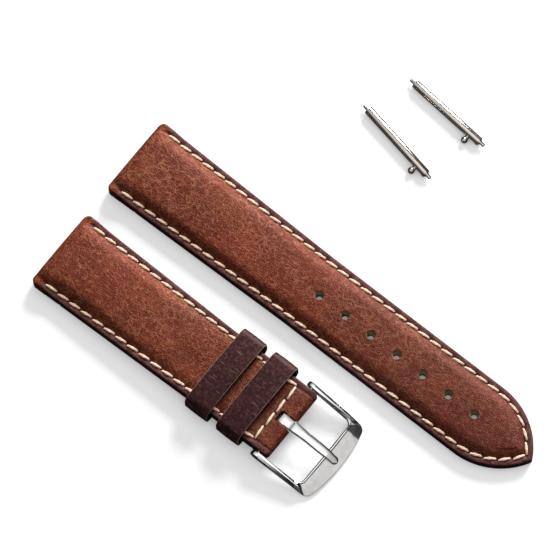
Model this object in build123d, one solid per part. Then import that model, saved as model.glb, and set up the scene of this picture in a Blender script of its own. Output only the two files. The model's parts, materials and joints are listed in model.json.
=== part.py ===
"""Padded leather watch strap in two pieces, with a pin buckle and two loose quick-release bars.

Millimetres. Both leather pieces lie along +X from their lug ends, with the long piece at +Y.
"""
from build123d import *
import math
import os

# Plan of the two leather pieces
lug_width = 22.0
tail_width = 20.0
taper_length = 54.0
long_length = 124.0
tip_length = 16.5
tip_round = 1.0
short_length = 73.4
lug_corner_radius = 2.0
fold_corner_radius = 1.2
strap_spacing = 29.9
short_piece_shift = 0.6

# Leather, lining and padding
lining_thickness = 0.9
stiffener_thickness = 0.4
leather_thickness = 1.2
lug_edge_height = 3.8
lug_crown_height = 4.9
tail_crown_height = 3.4
tip_crown_height = 3.0
fold_height = 3.1
keeper_crown_height = 3.3
rim_width = 2.4
filler_margin = 0.9
filler_edge_height = 0.3
shoulder_share = 0.8
shoulder_rise_share = 0.58
flap_length = 9.0
lug_core_start = 4.6
fold_core_length = 5.0
long_filler_inset = 10.0
short_filler_inset = 11.4
nose_low_radius = 1.4
nose_high_radius = 2.3

# Spring-bar tunnel at each lug end, with the notch for the release knob
tunnel_radius = 1.2
tunnel_inset = 2.4
tunnel_height = 2.0
notch_width = 2.0
notch_clearance = 0.2

# Row of tongue holes
tongue_hole_radius = 0.95
tongue_hole_first = 58.2
tongue_hole_pitch = 8.0
tongue_hole_count = 7

# Thread
stitch_inset = 1.65
stitch_pitch = 3.6
stitch_start = 3.6
stitch_gap = 0.9
thread_width = 0.65
thread_height = 0.35
thread_bevel = 0.12
groove_width = 0.9
groove_depth = 0.35
cross_row_inset = 5.5
cross_row_stitches = 4

# Keepers
keeper_width = 6.9
keeper_thickness = 1.1
keeper_inner_height = 4.4
keeper_side_gap = 0.45
keeper_high_radius = 1.1
keeper_low_radius = 0.4
fixed_keeper_inset = 14.8
keeper_spacing = 9.7
free_keeper_gap = 0.15

# Spring bar in the buckle's fold
bar_inset = 2.7
bar_radius = 0.9
bar_bore_radius = 0.5
bar_end_gap = 0.1
bar_tip_radius = 0.45
bar_tip_seat = 0.7
bar_tip_travel = 0.8
bar_tip_inside = 2.0
bar_spring_radius = 0.42
bar_spring_bore = 0.25
running_gap = 0.05
spring_end_gap = 0.2

# Buckle frame, measured from the bar's axis
frame_reach = 17.5
frame_corner_reach = 16.0
frame_window_reach = 12.7
frame_side_gap = 0.4
frame_arm = 1.2
frame_narrowing = 0.35
frame_lug_radius = 1.5
frame_front_height = 1.3
frame_front_bottom = 1.1
frame_rim_top = 0.1
frame_rim_bottom = 0.9
frame_outer_corner = 2.0
frame_inner_corner = 1.8

# Tongue, measured from the bar's axis
tongue_width = 2.7
tongue_tip_width = 2.0
tongue_reach = 16.4
tongue_loop_wall = 0.55
tongue_rest_gap = 0.06
tongue_thickness = 0.9
tongue_tip_thickness = 0.6
tongue_root_reach = 4.0
tongue_slot_width = 3.6
tongue_slot_depth = 4.6

# Loose quick-release bars
release_length = 24.8
release_tube_length = 21.8
release_radius = 1.1
release_bore_radius = 0.7
release_tip_radius = 0.45
release_plug_length = 3.0
release_collar_length = 0.35
release_travel = 1.5
release_knob_place = 7.8
release_ball_radius = 0.85
release_ball_reach = 2.2
release_stem_radius = 0.4
release_stem_seat = 0.3
release_ring_radius = 0.62
release_ring_height = 0.3
release_slot_end = 10.2
release_rod_length = 4.6
release_spring_radius = 0.6
release_spring_bore = 0.35

# Where the loose bars lie, from the middle of the long piece's lug end
first_bar_along = 48.1
first_bar_across = 43.4
first_bar_turn = -10.8
second_bar_along = 53.1
second_bar_across = 57.0
second_bar_turn = -5.1

overrun = 1.0

release_places = [
    ("first", first_bar_along, first_bar_across, first_bar_turn),
    ("second", second_bar_along, second_bar_across, second_bar_turn),
]

rim_height = lining_thickness + stiffener_thickness + leather_thickness
plate_base = lining_thickness + stiffener_thickness
tip_start = long_length - tip_length
tail_half_width = tail_width / 2
tip_arc_radius = (tip_length**2 + tail_half_width**2) / tail_width
cross_row_place = short_length - cross_row_inset
short_pitch = (cross_row_place - stitch_start) / round((cross_row_place - stitch_start) / stitch_pitch)
bar_place = short_length - bar_inset
fixed_keeper_start = short_length - fixed_keeper_inset
free_keeper_start = fixed_keeper_start - keeper_spacing
short_filler_end = short_length - short_filler_inset
long_filler_end = long_length - long_filler_inset
bar_height = fold_height / 2
wide = 2 * lug_width

# Heights of the stitched edge along each piece: place along the piece, height
lug_edge_line = [(-overrun, lug_edge_height), (stitch_start, lug_edge_height),
                 (stitch_start + stitch_pitch, rim_height)]
long_edge_line = lug_edge_line + [(long_length + overrun, rim_height)]
short_edge_line = [
    (-overrun, lug_edge_height),
    (stitch_start, lug_edge_height),
    (stitch_start + short_pitch, rim_height),
    (cross_row_place - 3 * short_pitch, rim_height),
    (cross_row_place - 2 * short_pitch, fold_height),
    (short_length + overrun, fold_height),
]

# Heights of the crown along each piece: place along the piece, height
long_crown_line = [
    (-overrun, lug_crown_height),
    (flap_length, lug_crown_height),
    (taper_length, tail_crown_height + (lug_crown_height - tail_crown_height) / 3),
    (tip_start, tail_crown_height),
    (long_length + overrun, tip_crown_height),
]
short_crown_line = [
    (-overrun, lug_crown_height),
    (flap_length, lug_crown_height),
    (free_keeper_start, keeper_crown_height),
    (short_filler_end, fold_height),
]


def height_at(line, x):
    """Height of a line of (place, height) points at x."""
    for (x0, z0), (x1, z1) in zip(line, line[1:]):
        if x <= x1:
            return z0 + (z1 - z0) * (x - x0) / (x1 - x0)
    return line[-1][1]


def half_width(x, inset=0):
    """Half of a leather piece's width at x, less an inset."""
    share = min(max(x / taper_length, 0), 1)
    return (lug_width + (tail_width - lug_width) * share) / 2 - inset


def long_outline(inset=0, start=0):
    """Plan of the long piece, drawn in by an inset, with its pointed tip."""
    reach = math.sqrt((tip_arc_radius - inset)**2 - (tip_arc_radius - tail_half_width)**2)
    apex = (tip_start + reach, 0)
    edges = [Line((start, -half_width(start, inset)), (start, half_width(start, inset)))]
    for side in (-1, 1):
        taper_end = (taper_length, side * half_width(taper_length, inset))
        arc_start = (tip_start, side * half_width(tip_start, inset))
        edges.append(Line((start, side * half_width(start, inset)), taper_end))
        edges.append(Line(taper_end, arc_start))
        edges.append(TangentArc(arc_start, apex, tangent=(1, 0)))
    face = make_face(edges)
    if start < 0:
        return face
    corners = face.vertices().sort_by(Axis.X)
    face = fillet(corners[:2], lug_corner_radius)
    return fillet(face.vertices().sort_by(Axis.X)[-1:], tip_round)


def short_outline(inset=0, start=0, end=short_length):
    """Plan of the short piece, drawn in by an inset."""
    points = [(start, -half_width(start, inset)), (start, half_width(start, inset))]
    points.append((taper_length, half_width(taper_length, inset)))
    points.append((end, half_width(end, inset)))
    points.append((end, -half_width(end, inset)))
    points.append((taper_length, -half_width(taper_length, inset)))
    face = make_face(Polyline(*points, close=True))
    if start < 0:
        return face
    corners = face.vertices().sort_by(Axis.X)
    face = fillet(corners[:2], lug_corner_radius)
    return fillet(face.vertices().sort_by(Axis.X)[-2:], fold_corner_radius)


def slab(face, low, high):
    """A plan face made solid between two heights."""
    return extrude(Pos(0, 0, low) * face, amount=high - low)


def side_solid(face):
    """A face drawn in X and Z, made solid to both sides of the middle."""
    return extrude(Plane.XZ * face, amount=wide, both=True)


def stretch(start, end):
    """A wide block that covers the strap from one place along it to another."""
    return Pos((start + end) / 2, 0, 0) * Box(end - start, wide, wide)


def dome(stations, inset, thickness_above, low_edge):
    """Arched block through stations of (place, edge height, crown height)."""
    sections = []
    for place, edge, crown in stations:
        half = half_width(place, inset)
        side = max(edge - thickness_above, plate_base + low_edge)
        top = crown - thickness_above
        shoulder = side + (top - side) * shoulder_rise_share
        arch = Spline((half, side), (half * shoulder_share, shoulder), (0, top),
                      (-half * shoulder_share, shoulder), (-half, side))
        outline = [
            Line((-half, plate_base), (half, plate_base)),
            Line((half, plate_base), (half, side)),
            arch,
            Line((-half, side), (-half, plate_base)),
        ]
        sections.append(Plane.YZ.offset(place) * make_face(outline))
    return loft(sections, ruled=True)


def stations(edge_line, crown_line, start, end):
    """Stations of a dome from start to end, wherever either line bends."""
    places = {start, end}
    for place, _ in edge_line + crown_line:
        if start < place < end:
            places.add(place)
    return [(x, height_at(edge_line, x), height_at(crown_line, x)) for x in sorted(places)]


def lug_silhouette(length):
    """Side view that rounds the lug end over its whole width."""
    low = nose_low_radius
    high = lug_crown_height - nose_high_radius
    edges = [
        RadiusArc((low, 0), (0, low), low),
        Line((0, low), (0, high)),
        RadiusArc((0, high), (nose_high_radius, lug_crown_height), nose_high_radius),
        Line((nose_high_radius, lug_crown_height), (length + overrun, lug_crown_height)),
        Line((length + overrun, lug_crown_height), (length + overrun, 0)),
        Line((length + overrun, 0), (low, 0)),
    ]
    return side_solid(make_face(edges))


def lug_block(outline, slope_end):
    """The top leather turned over the lug end, with its flap under the strap."""
    points = [
        (0, 0),
        (flap_length, 0),
        (flap_length, lining_thickness),
        (lug_core_start, lining_thickness),
        (lug_core_start, plate_base),
        (slope_end, plate_base),
        (slope_end, rim_height),
        (stitch_start, lug_edge_height),
        (0, lug_edge_height),
    ]
    return side_solid(make_face(Polyline(*points, close=True))) & slab(outline, 0, lug_edge_height)


def fold_block(outline):
    """The top leather turned round the buckle's spring bar."""
    core_end = short_length - fold_core_length
    slope_start = cross_row_place - 3 * short_pitch
    slope_end = cross_row_place - 2 * short_pitch
    points = [
        (short_length - flap_length, 0),
        (short_length, 0),
        (short_length, fold_height),
        (slope_end, fold_height),
        (slope_start, rim_height),
        (slope_start, plate_base),
        (core_end, plate_base),
        (core_end, lining_thickness),
        (short_length - flap_length, lining_thickness),
    ]
    block = side_solid(make_face(Polyline(*points, close=True))) & slab(outline, 0, fold_height)
    nose_start = short_length - bar_height
    nose = cross_bore(nose_start, bar_height, bar_height, wide)
    body = side_solid(Pos(nose_start / 2, bar_height) * Rectangle(nose_start, fold_height))
    return block & (nose + body)


def cross_bore(place, height, radius, span):
    """A round bar across the strap."""
    return Pos(place, 0, height) * Rotation(90, 0, 0) * Cylinder(radius, span)


def knob_notch():
    """Opening in the underside that the release knob reaches through."""
    room = release_stem_radius + notch_clearance
    low = release_knob_place - release_travel - room
    high = release_knob_place + room
    size = Box(notch_width, high - low, tunnel_height + overrun)
    return Pos(tunnel_inset, (low + high) / 2, (tunnel_height - overrun) / 2) * size


def tongue_holes():
    """The row of round holes along the long piece."""
    tools = []
    height = lug_crown_height + 2 * overrun
    for index in range(tongue_hole_count):
        place = tongue_hole_first + index * tongue_hole_pitch
        tools.append(Pos(place, 0, height / 2 - overrun) * Cylinder(tongue_hole_radius, height))
    return tools


def stitch_groove(outline_at, start, end):
    """Shallow channel under the stitched edge that keeps the thread off the wrist."""
    near = outline_at(stitch_inset - groove_width / 2, -overrun)
    far = outline_at(stitch_inset + groove_width / 2, -overrun)
    band = slab(near - far, -overrun, groove_depth)
    return band & stretch(start, end)


def stitch(start, end, height_start, height_end, up=1):
    """One stitch lying between two points of the plan."""
    a = Vector(start.X, start.Y, height_start)
    b = Vector(end.X, end.Y, height_end)
    along = b - a
    across = Vector(0, 0, up).cross(along)
    plane = Plane(origin=(a + b) / 2, x_dir=along, z_dir=along.cross(across))
    slot = SlotOverall(along.length - stitch_gap, thread_width)
    taper = math.degrees(math.atan(thread_bevel / thread_height))
    return plane * extrude(slot, amount=thread_height, taper=taper)


def stitch_row(path, pitch, edge_line):
    """Stitches along a plan path, on the edge above it and in the groove below it."""
    count = round(path.length / pitch)
    stitches = []
    for index in range(count):
        start = path.position_at(index / count)
        end = path.position_at((index + 1) / count)
        heights = height_at(edge_line, start.X), height_at(edge_line, end.X)
        stitches.append(stitch(start, end, *heights))
        stitches.append(stitch(start, end, groove_depth, groove_depth, up=-1))
    return stitches


def long_stitch_path(side):
    """Where the thread runs along one side of the long piece and round the tip."""
    inset = stitch_inset
    start = (stitch_start, side * half_width(stitch_start, inset))
    taper_end = (taper_length, side * half_width(taper_length, inset))
    arc_start = (tip_start, side * half_width(tip_start, inset))
    reach = math.sqrt((tip_arc_radius - inset)**2 - (tip_arc_radius - tail_half_width)**2)
    arc = TangentArc(arc_start, (tip_start + reach, 0), tangent=(1, 0))
    return Wire([Line(start, taper_end), Line(taper_end, arc_start), arc])


def short_stitch_path(side):
    """Where the thread runs along one side of the short piece."""
    points = [(x, side * half_width(x, stitch_inset)) for x in (stitch_start, taper_length, cross_row_place)]
    return Wire(Polyline(*points).edges())


def keeper(start, bottom):
    """A leather loop round the short piece, with its lower leg's top face at bottom."""
    half = tail_half_width + keeper_side_gap
    faces = []
    for growth in (0, keeper_thickness):
        face = Rectangle(2 * (half + growth), keeper_inner_height + 2 * growth)
        corners = face.vertices().sort_by(Axis.Y)
        face = fillet(corners[:2], keeper_low_radius + growth)
        faces.append(fillet(face.vertices().sort_by(Axis.Y)[-2:], keeper_high_radius + growth))
    ring = Pos(0, bottom + keeper_inner_height / 2) * (faces[1] - faces[0])
    return extrude(Plane.YZ.offset(start) * ring, amount=keeper_width)


def buckle_frame():
    """The steel frame: two arms with lugs round the bar, and a bowed front with a bevel."""
    inner_half = tail_half_width + frame_side_gap
    outer_half = inner_half + frame_arm
    back = -frame_lug_radius - overrun
    front_outer = outer_half - frame_narrowing
    front_inner = inner_half - frame_narrowing
    near_corner = (frame_corner_reach, -front_outer)
    far_corner = (frame_corner_reach, front_outer)
    outer = make_face([
        Line((back, -outer_half), near_corner),
        ThreePointArc(near_corner, (frame_reach, 0), far_corner),
        Line(far_corner, (back, outer_half)),
        Line((back, outer_half), (back, -outer_half)),
    ])
    outer = fillet(outer.vertices().sort_by(Axis.X)[-2:], frame_outer_corner)
    window = make_face(Polyline(
        (back - overrun, -inner_half),
        (frame_window_reach, -front_inner),
        (frame_window_reach, front_inner),
        (back - overrun, inner_half),
        close=True,
    ))
    window = fillet(window.vertices().sort_by(Axis.X)[-2:], frame_inner_corner)
    plan = slab(outer - window, -2 * frame_lug_radius, 2 * frame_lug_radius)
    side = make_face(Polyline(
        (0, frame_lug_radius),
        (frame_window_reach, frame_front_height),
        (frame_reach, frame_rim_top),
        (frame_reach, -frame_rim_bottom),
        (frame_window_reach, -frame_front_bottom),
        (0, -frame_lug_radius),
        close=True,
    ))
    lug = cross_bore(0, 0, frame_lug_radius, wide)
    frame = plan & (side_solid(side) + lug)
    reach = tail_half_width + frame_side_gap + bar_tip_seat + running_gap
    return frame - cross_bore(0, 0, bar_tip_radius + running_gap, 2 * reach)


def buckle_tongue():
    """The tongue: a loop round the bar and a shank that rests on the frame's front."""
    loop_bore = bar_radius + running_gap
    loop_radius = loop_bore + tongue_loop_wall
    rest = frame_front_height + tongue_rest_gap
    bevel = (frame_front_height - frame_rim_top) / (frame_reach - frame_window_reach)
    tip_low = rest - bevel * (tongue_reach - frame_window_reach)
    profile = make_face(Polyline(
        (0, loop_radius),
        (frame_window_reach, rest + tongue_thickness),
        (tongue_reach, tip_low + tongue_tip_thickness),
        (tongue_reach, tip_low),
        (frame_window_reach, rest),
        (tongue_root_reach, loop_bore),
        (0, 0),
        close=True,
    ))
    shank = side_solid(profile)
    root = tongue_width / 2
    tip = tongue_tip_width / 2
    plan = make_face([
        Line((-loop_radius - overrun, -root), (tongue_root_reach, -root)),
        Line((tongue_root_reach, -root), (tongue_reach - tip, -tip)),
        ThreePointArc((tongue_reach - tip, -tip), (tongue_reach, 0), (tongue_reach - tip, tip)),
        Line((tongue_reach - tip, tip), (tongue_root_reach, root)),
        Line((tongue_root_reach, root), (-loop_radius - overrun, root)),
        Line((-loop_radius - overrun, root), (-loop_radius - overrun, -root)),
    ])
    body = (shank + cross_bore(0, 0, loop_radius, wide)) & slab(plan, -wide, wide)
    return body - cross_bore(0, 0, loop_bore, wide)


def buckle_bar():
    """Spring bar in the fold, its axis along Y: tube, two tips and the spring between them."""
    half = tail_half_width - bar_end_gap
    tip_length_all = bar_tip_inside + bar_end_gap + frame_side_gap + bar_tip_seat
    tip_middle = half - bar_tip_inside + tip_length_all / 2
    spring_half = half - bar_tip_inside - bar_tip_travel - spring_end_gap
    parts = {
        "buckle_bar_tube": Cylinder(bar_radius, 2 * half) - Cylinder(bar_bore_radius, wide),
        "buckle_bar_spring": Cylinder(bar_spring_radius, 2 * spring_half) - Cylinder(bar_spring_bore, wide),
        "buckle_bar_far_tip": Pos(0, 0, -tip_middle) * Cylinder(bar_tip_radius, tip_length_all),
        "buckle_bar_near_tip": Pos(0, 0, tip_middle) * Cylinder(bar_tip_radius, tip_length_all),
    }
    return {name: Rotation(90, 0, 0) * part for name, part in parts.items()}


def rod(radius, start, end):
    """A round rod along X."""
    return Pos((start + end) / 2, 0, 0) * Rotation(0, 90, 0) * Cylinder(radius, end - start)


def radial_rod(radius, place, start, end):
    """A round rod that points to -Y, from one distance off the axis to another."""
    return Pos(place, -(start + end) / 2, 0) * Rotation(90, 0, 0) * Cylinder(radius, end - start)


def release_bar():
    """Quick-release spring bar along X, with its knob to -Y."""
    tube_half = release_tube_length / 2
    tip_half = release_length / 2
    rod_start = release_knob_place + release_stem_radius + running_gap - release_rod_length / 2
    slot_width = 2 * (release_stem_radius + running_gap)
    slot_start = release_knob_place - release_stem_radius - release_travel - 2 * running_gap
    tube = rod(release_radius, -tube_half, tube_half) - rod(release_bore_radius, -wide, wide)
    slot_box = Box(release_slot_end - slot_start, release_radius + overrun, slot_width)
    tube -= Pos((slot_start + release_slot_end) / 2, -(release_radius + overrun) / 2, 0) * slot_box

    fixed_tip = rod(release_bore_radius, -tube_half, release_plug_length - tube_half)
    fixed_tip += rod(release_tip_radius, -tip_half, -tube_half)

    stem = radial_rod(release_stem_radius, release_knob_place, release_stem_seat, release_ball_reach)
    ring_start = release_radius + running_gap
    ring_end = ring_start + release_ring_height
    knob = stem + radial_rod(release_ring_radius, release_knob_place, ring_start, ring_end)
    knob += Pos(release_knob_place, -release_ball_reach, 0) * Sphere(release_ball_radius)

    plunger = rod(release_bore_radius - running_gap, rod_start, tube_half + release_collar_length)
    plunger += rod(release_tip_radius, tube_half + release_collar_length, tip_half)
    plunger -= stem

    spring_end = rod_start - release_travel - spring_end_gap
    spring = rod(release_spring_radius, release_plug_length - tube_half, spring_end)
    spring -= rod(release_spring_bore, -wide, wide)
    return {"tube": tube, "fixed_tip": fixed_tip, "plunger": plunger, "release_knob": knob, "spring": spring}


def long_piece():
    """The tail: lining, stiffener, filler, top leather and thread."""
    outline = long_outline()
    whole = slab(outline, 0, lug_crown_height)
    dome_plan = slab(long_outline(rim_width, -overrun), plate_base, lug_crown_height)
    filler_plan = slab(long_outline(rim_width + filler_margin, -overrun), plate_base, lug_crown_height)
    line = stations(long_edge_line, long_crown_line, -overrun, long_length + overrun)
    core_line = stations(long_edge_line, long_crown_line, lug_core_start, long_filler_end)
    crown = dome(line, rim_width, 0, 0) & dome_plan
    filler = dome(core_line, rim_width + filler_margin, leather_thickness, filler_edge_height) & filler_plan
    leather = slab(outline, plate_base, rim_height) + lug_block(outline, stitch_start + stitch_pitch) + crown
    leather = leather & whole & lug_silhouette(long_length)
    leather -= filler
    leather -= cross_bore(tunnel_inset, tunnel_height, tunnel_radius, wide)
    leather -= knob_notch()
    groove = stitch_groove(long_outline, stitch_start - stitch_gap, long_length + overrun)
    stiffener = slab(outline, lining_thickness, plate_base) & stretch(lug_core_start, long_length + overrun)
    lining = slab(outline, 0, lining_thickness) & stretch(flap_length, long_length + overrun)
    holes = tongue_holes()
    stitches = []
    for side in (1, -1):
        stitches += stitch_row(long_stitch_path(side), stitch_pitch, long_edge_line)
    return {
        "long_top_leather": leather - groove - holes,
        "long_filler": filler - holes,
        "long_stiffener": stiffener - holes,
        "long_lining": lining - groove - holes,
        "long_stitching": Compound(stitches),
    }


def short_piece():
    """The buckle piece: lining, stiffener, filler, top leather and thread."""
    outline = short_outline()
    dome_plan = slab(short_outline(rim_width, -overrun, short_filler_end), plate_base, lug_crown_height)
    line = stations(short_edge_line, short_crown_line, -overrun, short_filler_end)
    core_line = stations(short_edge_line, short_crown_line, lug_core_start, short_filler_end - rim_width)
    crown = dome(line, rim_width, 0, 0) & dome_plan
    filler = dome(core_line, rim_width + filler_margin, leather_thickness, filler_edge_height)
    leather = slab(short_outline(end=cross_row_place), plate_base, rim_height)
    leather += lug_block(outline, stitch_start + short_pitch)
    leather = leather + fold_block(outline) + crown
    leather = leather & slab(outline, 0, lug_crown_height) & lug_silhouette(short_length)
    leather -= filler
    leather -= cross_bore(tunnel_inset, tunnel_height, tunnel_radius, wide)
    leather -= knob_notch()
    leather -= cross_bore(bar_place, bar_height, bar_radius, wide)
    slot_middle = short_length - tongue_slot_depth + wide / 2
    leather -= Pos(slot_middle, 0, 0) * Box(wide, tongue_slot_width, wide)
    groove = stitch_groove(short_outline, stitch_start - stitch_gap, cross_row_place + groove_width / 2)
    cross_half = half_width(cross_row_place, stitch_inset)
    groove += Pos(cross_row_place, 0, 0) * Box(groove_width, 2 * cross_half, 2 * groove_depth)
    core = stretch(lug_core_start, short_length - fold_core_length)
    body = stretch(flap_length, short_length - flap_length)
    side_stitches = []
    for side in (1, -1):
        side_stitches += stitch_row(short_stitch_path(side), short_pitch, short_edge_line)
    cross_path = Wire([Edge.make_line((cross_row_place, cross_half, 0), (cross_row_place, -cross_half, 0))])
    cross_pitch = cross_path.length / cross_row_stitches
    return {
        "short_top_leather": leather - groove,
        "short_filler": filler,
        "short_stiffener": slab(outline, lining_thickness, plate_base) & core,
        "short_lining": (slab(outline, 0, lining_thickness) & body) - groove,
        "short_stitching": Compound(side_stitches),
        "short_cross_stitching": Compound(stitch_row(cross_path, cross_pitch, short_edge_line)),
        "fixed_keeper": keeper(fixed_keeper_start, 0),
        "free_keeper": keeper(free_keeper_start, -free_keeper_gap),
    }


# The short piece rests on its lug end and on the free keeper's lower leg
tilt = math.degrees(math.asin((keeper_thickness + free_keeper_gap) / free_keeper_start))
short_place = Location((short_piece_shift, -strap_spacing, 0), (0, -tilt, 0))
bar_centre = short_place * Pos(bar_place, 0, bar_height)
bar_point = bar_centre.position

# The buckle's front rests on the ground
frame_drop = math.degrees(math.asin((bar_point.Z - frame_rim_bottom) / frame_reach))
frame_place = Location(bar_point, (0, frame_drop, 0))

nodes = long_piece()
for name, part in short_piece().items():
    nodes[name] = short_place * part
for name, part in buckle_bar().items():
    nodes[name] = bar_centre * part
nodes["buckle_frame"] = frame_place * buckle_frame()
nodes["buckle_tongue"] = frame_place * buckle_tongue()

knob_drop = math.degrees(math.asin((release_radius - release_ball_radius) / release_ball_reach))
release_locations = {}
for bar, x, y, turn in release_places:
    release_locations[bar] = Location((x, y, release_radius), (0, 0, turn)) * Rotation(knob_drop, 0, 0)
    for name, part in release_bar().items():
        nodes[bar + "_bar_" + name] = release_locations[bar] * part

# The origin is the middle of the whole set's box, on the ground
box = Compound([solid for part in nodes.values() for solid in part.solids()]).bounding_box()
origin = Pos(-box.center().X, -box.center().Y, -box.min.Z)

os.makedirs("parts", exist_ok=True)
for name, part in nodes.items():
    export_step(origin * part, "parts/" + name + ".step")


def tell(name, place, *numbers):
    """Print a place in the part's frame, and what goes with it."""
    point = (origin * Pos(place)).position
    print(name, [round(value, 4) for value in point], [round(value, 4) for value in numbers])


tell("box size", Vector(0, 0, 0), *box.size)
tell("buckle hinge", bar_point, frame_drop, tilt)
tell("long tunnel", Vector(tunnel_inset, 0, tunnel_height), tunnel_radius)
tell("short tunnel", (short_place * Pos(tunnel_inset, 0, tunnel_height)).position, tunnel_radius)
middle_hole = tongue_hole_first + (tongue_hole_count - 1) / 2 * tongue_hole_pitch
tell("tongue holes", Vector(middle_hole, 0, 0), tongue_hole_pitch, tongue_hole_radius)
tell("underside", Vector(long_length / 2, 0, 0))
tube_half = release_tube_length / 2
tip_half = release_length / 2
fixed_length = tip_half - tube_half
sprung_length = fixed_length - release_collar_length
for bar, location in release_locations.items():
    fixed_tip = (location * Pos(fixed_length / 2 - tip_half, 0, 0)).position
    sprung_tip = (location * Pos(tip_half - sprung_length / 2, 0, 0)).position
    tell(bar + " fixed tip", fixed_tip, fixed_length)
    tell(bar + " sprung tip", sprung_tip, sprung_length)
    axis = (location * Pos(1, 0, 0)).position - location.position
    print(bar, "axis", [round(value, 5) for value in axis])
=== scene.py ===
import json
import math

import bmesh
import bpy
import numpy as np
from mathutils import Matrix, Vector

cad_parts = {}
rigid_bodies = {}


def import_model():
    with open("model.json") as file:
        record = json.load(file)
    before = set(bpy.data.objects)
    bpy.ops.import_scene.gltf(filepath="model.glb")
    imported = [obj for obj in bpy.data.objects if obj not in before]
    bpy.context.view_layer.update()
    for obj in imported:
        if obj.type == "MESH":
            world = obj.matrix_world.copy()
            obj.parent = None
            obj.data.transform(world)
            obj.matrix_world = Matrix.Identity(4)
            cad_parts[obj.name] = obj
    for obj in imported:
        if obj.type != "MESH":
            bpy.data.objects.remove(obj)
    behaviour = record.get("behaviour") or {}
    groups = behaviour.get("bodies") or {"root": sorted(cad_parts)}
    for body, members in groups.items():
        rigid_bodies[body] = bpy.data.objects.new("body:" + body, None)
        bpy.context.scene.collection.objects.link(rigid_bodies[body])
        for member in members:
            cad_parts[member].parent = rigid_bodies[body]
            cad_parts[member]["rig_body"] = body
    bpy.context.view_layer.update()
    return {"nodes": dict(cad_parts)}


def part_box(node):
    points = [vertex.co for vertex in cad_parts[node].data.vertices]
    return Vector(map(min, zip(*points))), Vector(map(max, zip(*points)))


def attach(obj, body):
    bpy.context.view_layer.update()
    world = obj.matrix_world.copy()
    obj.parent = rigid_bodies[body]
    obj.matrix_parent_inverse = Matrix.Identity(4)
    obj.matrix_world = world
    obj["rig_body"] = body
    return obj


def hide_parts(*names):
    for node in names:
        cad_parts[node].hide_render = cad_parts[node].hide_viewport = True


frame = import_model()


# Lining of the long piece: a strip of soft calf split, skived to 0.9 mm and glued under the stiffener.
# It is cut on the same press as the top leather, its edge is sanded round, and the thread lies in a
# groove pressed into its underside. Sizes are in millimetres from the middle of the lug end.
LUG_WIDTH = 22.0
TAIL_WIDTH = 20.0
TAPER_LENGTH = 54.0
LONG_LENGTH = 124.0
LUG_CORNER = 1.7
FLAP_END = 9.0
TIP_LENGTH = 16.5
TIP_ROUND = 1.0
TIP_TURN = 0.93
TIP_START = LONG_LENGTH - TIP_LENGTH
TIP_ARC = (TIP_LENGTH**2 + (TAIL_WIDTH / 2)**2) / TAIL_WIDTH
LINING = 0.9
SANDED_DEPTH = 0.25
SANDED_WIDTH = 0.3
STITCH_INSET = 1.65
GROOVE_DEPTH = 0.35
GROOVE_HALF = 0.48
GROOVE_SLOPE = 0.3
PAINT_REACH = 0.42
PAINT_FADE = 0.3
EDGE_PAINT = "#24100f"
CORE_INSET = 4.0
INNER_SHARES = [0, 0.0533, 0.1067, 0.16, 0.25, 0.34, 0.43, 0.52, 0.61, 0.7, 0.79, 0.87, 0.94]
GROOVE_INSETS = [0, 0.15, 0.5, 1.1, 1.25, 1.45, STITCH_INSET, 1.85, 2.05, 2.2, 3.0, CORE_INSET]

long_low, long_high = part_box("long_top_leather")
LONG_PLACE = Matrix.Translation((long_low.x, (long_low.y + long_high.y) / 2, 0)) @ Matrix.Scale(0.001, 4)


def half_width(along):
    """Half of either leather piece's width, which narrows from the lugs and then stays the same."""
    return (LUG_WIDTH + (TAIL_WIDTH - LUG_WIDTH) * np.clip(along / TAPER_LENGTH, 0, 1)) / 2


def long_plan(station, inset, share):
    """Plan of the long piece: stations are millimetres up to the tip, and one more unit round it."""
    corner = np.clip(LUG_CORNER - station, 0, LUG_CORNER)
    drop = LUG_CORNER - np.sqrt(LUG_CORNER**2 - corner**2)
    half = half_width(station)
    straight = half - inset - drop * (1 - inset / half)
    turn = np.clip(station - TIP_START, 0, 1)
    offset = TIP_ARC - TAIL_WIDTH / 2
    full = np.arccos(offset / (TIP_ARC - np.maximum(inset, TIP_ROUND)))
    angle = full * np.minimum(turn / TIP_TURN, 1)
    nose = full + (math.pi / 2 - full) * np.clip((turn - TIP_TURN) / (1 - TIP_TURN), 0, 1)
    in_nose = (turn > TIP_TURN) & (inset < TIP_ROUND)
    nose_along = TIP_START + (TIP_ARC - TIP_ROUND) * np.sin(full) + (TIP_ROUND - inset) * np.sin(nose)
    side_along = TIP_START + (TIP_ARC - inset) * np.sin(angle)
    side_across = (TIP_ARC - inset) * np.cos(angle) - offset
    along = np.where(in_nose, nose_along, side_along)
    across = np.where(in_nose, (TIP_ROUND - inset) * np.cos(nose), side_across)
    on_tip = station > TIP_START
    return np.where(on_tip, along, station), np.where(on_tip, across, straight) * share


def band(distance, reach, fade):
    """One within a reach of a line, fading to nothing at its end."""
    return np.clip((reach - distance) / fade, 0, 1)


def lines_around(top_insets, under_insets, walls):
    """The lengthwise lines of one layer, from the middle of its underside round over its top and back."""
    half = [(CORE_INSET, share, 1.0) for share in INNER_SHARES]
    half += [(inset, 1.0, 1.0) for inset in sorted(top_insets, reverse=True)]
    half += [(0.0, 1.0, 1 - (step + 1) / (walls + 1)) for step in range(walls)]
    half += [(inset, 1.0, 0.0) for inset in sorted(under_insets)]
    half += [(CORE_INSET, share, 0.0) for share in reversed(INNER_SHARES)]
    return [line + (1,) for line in reversed(half)] + [line + (-1,) for line in half[1:]]


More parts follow.
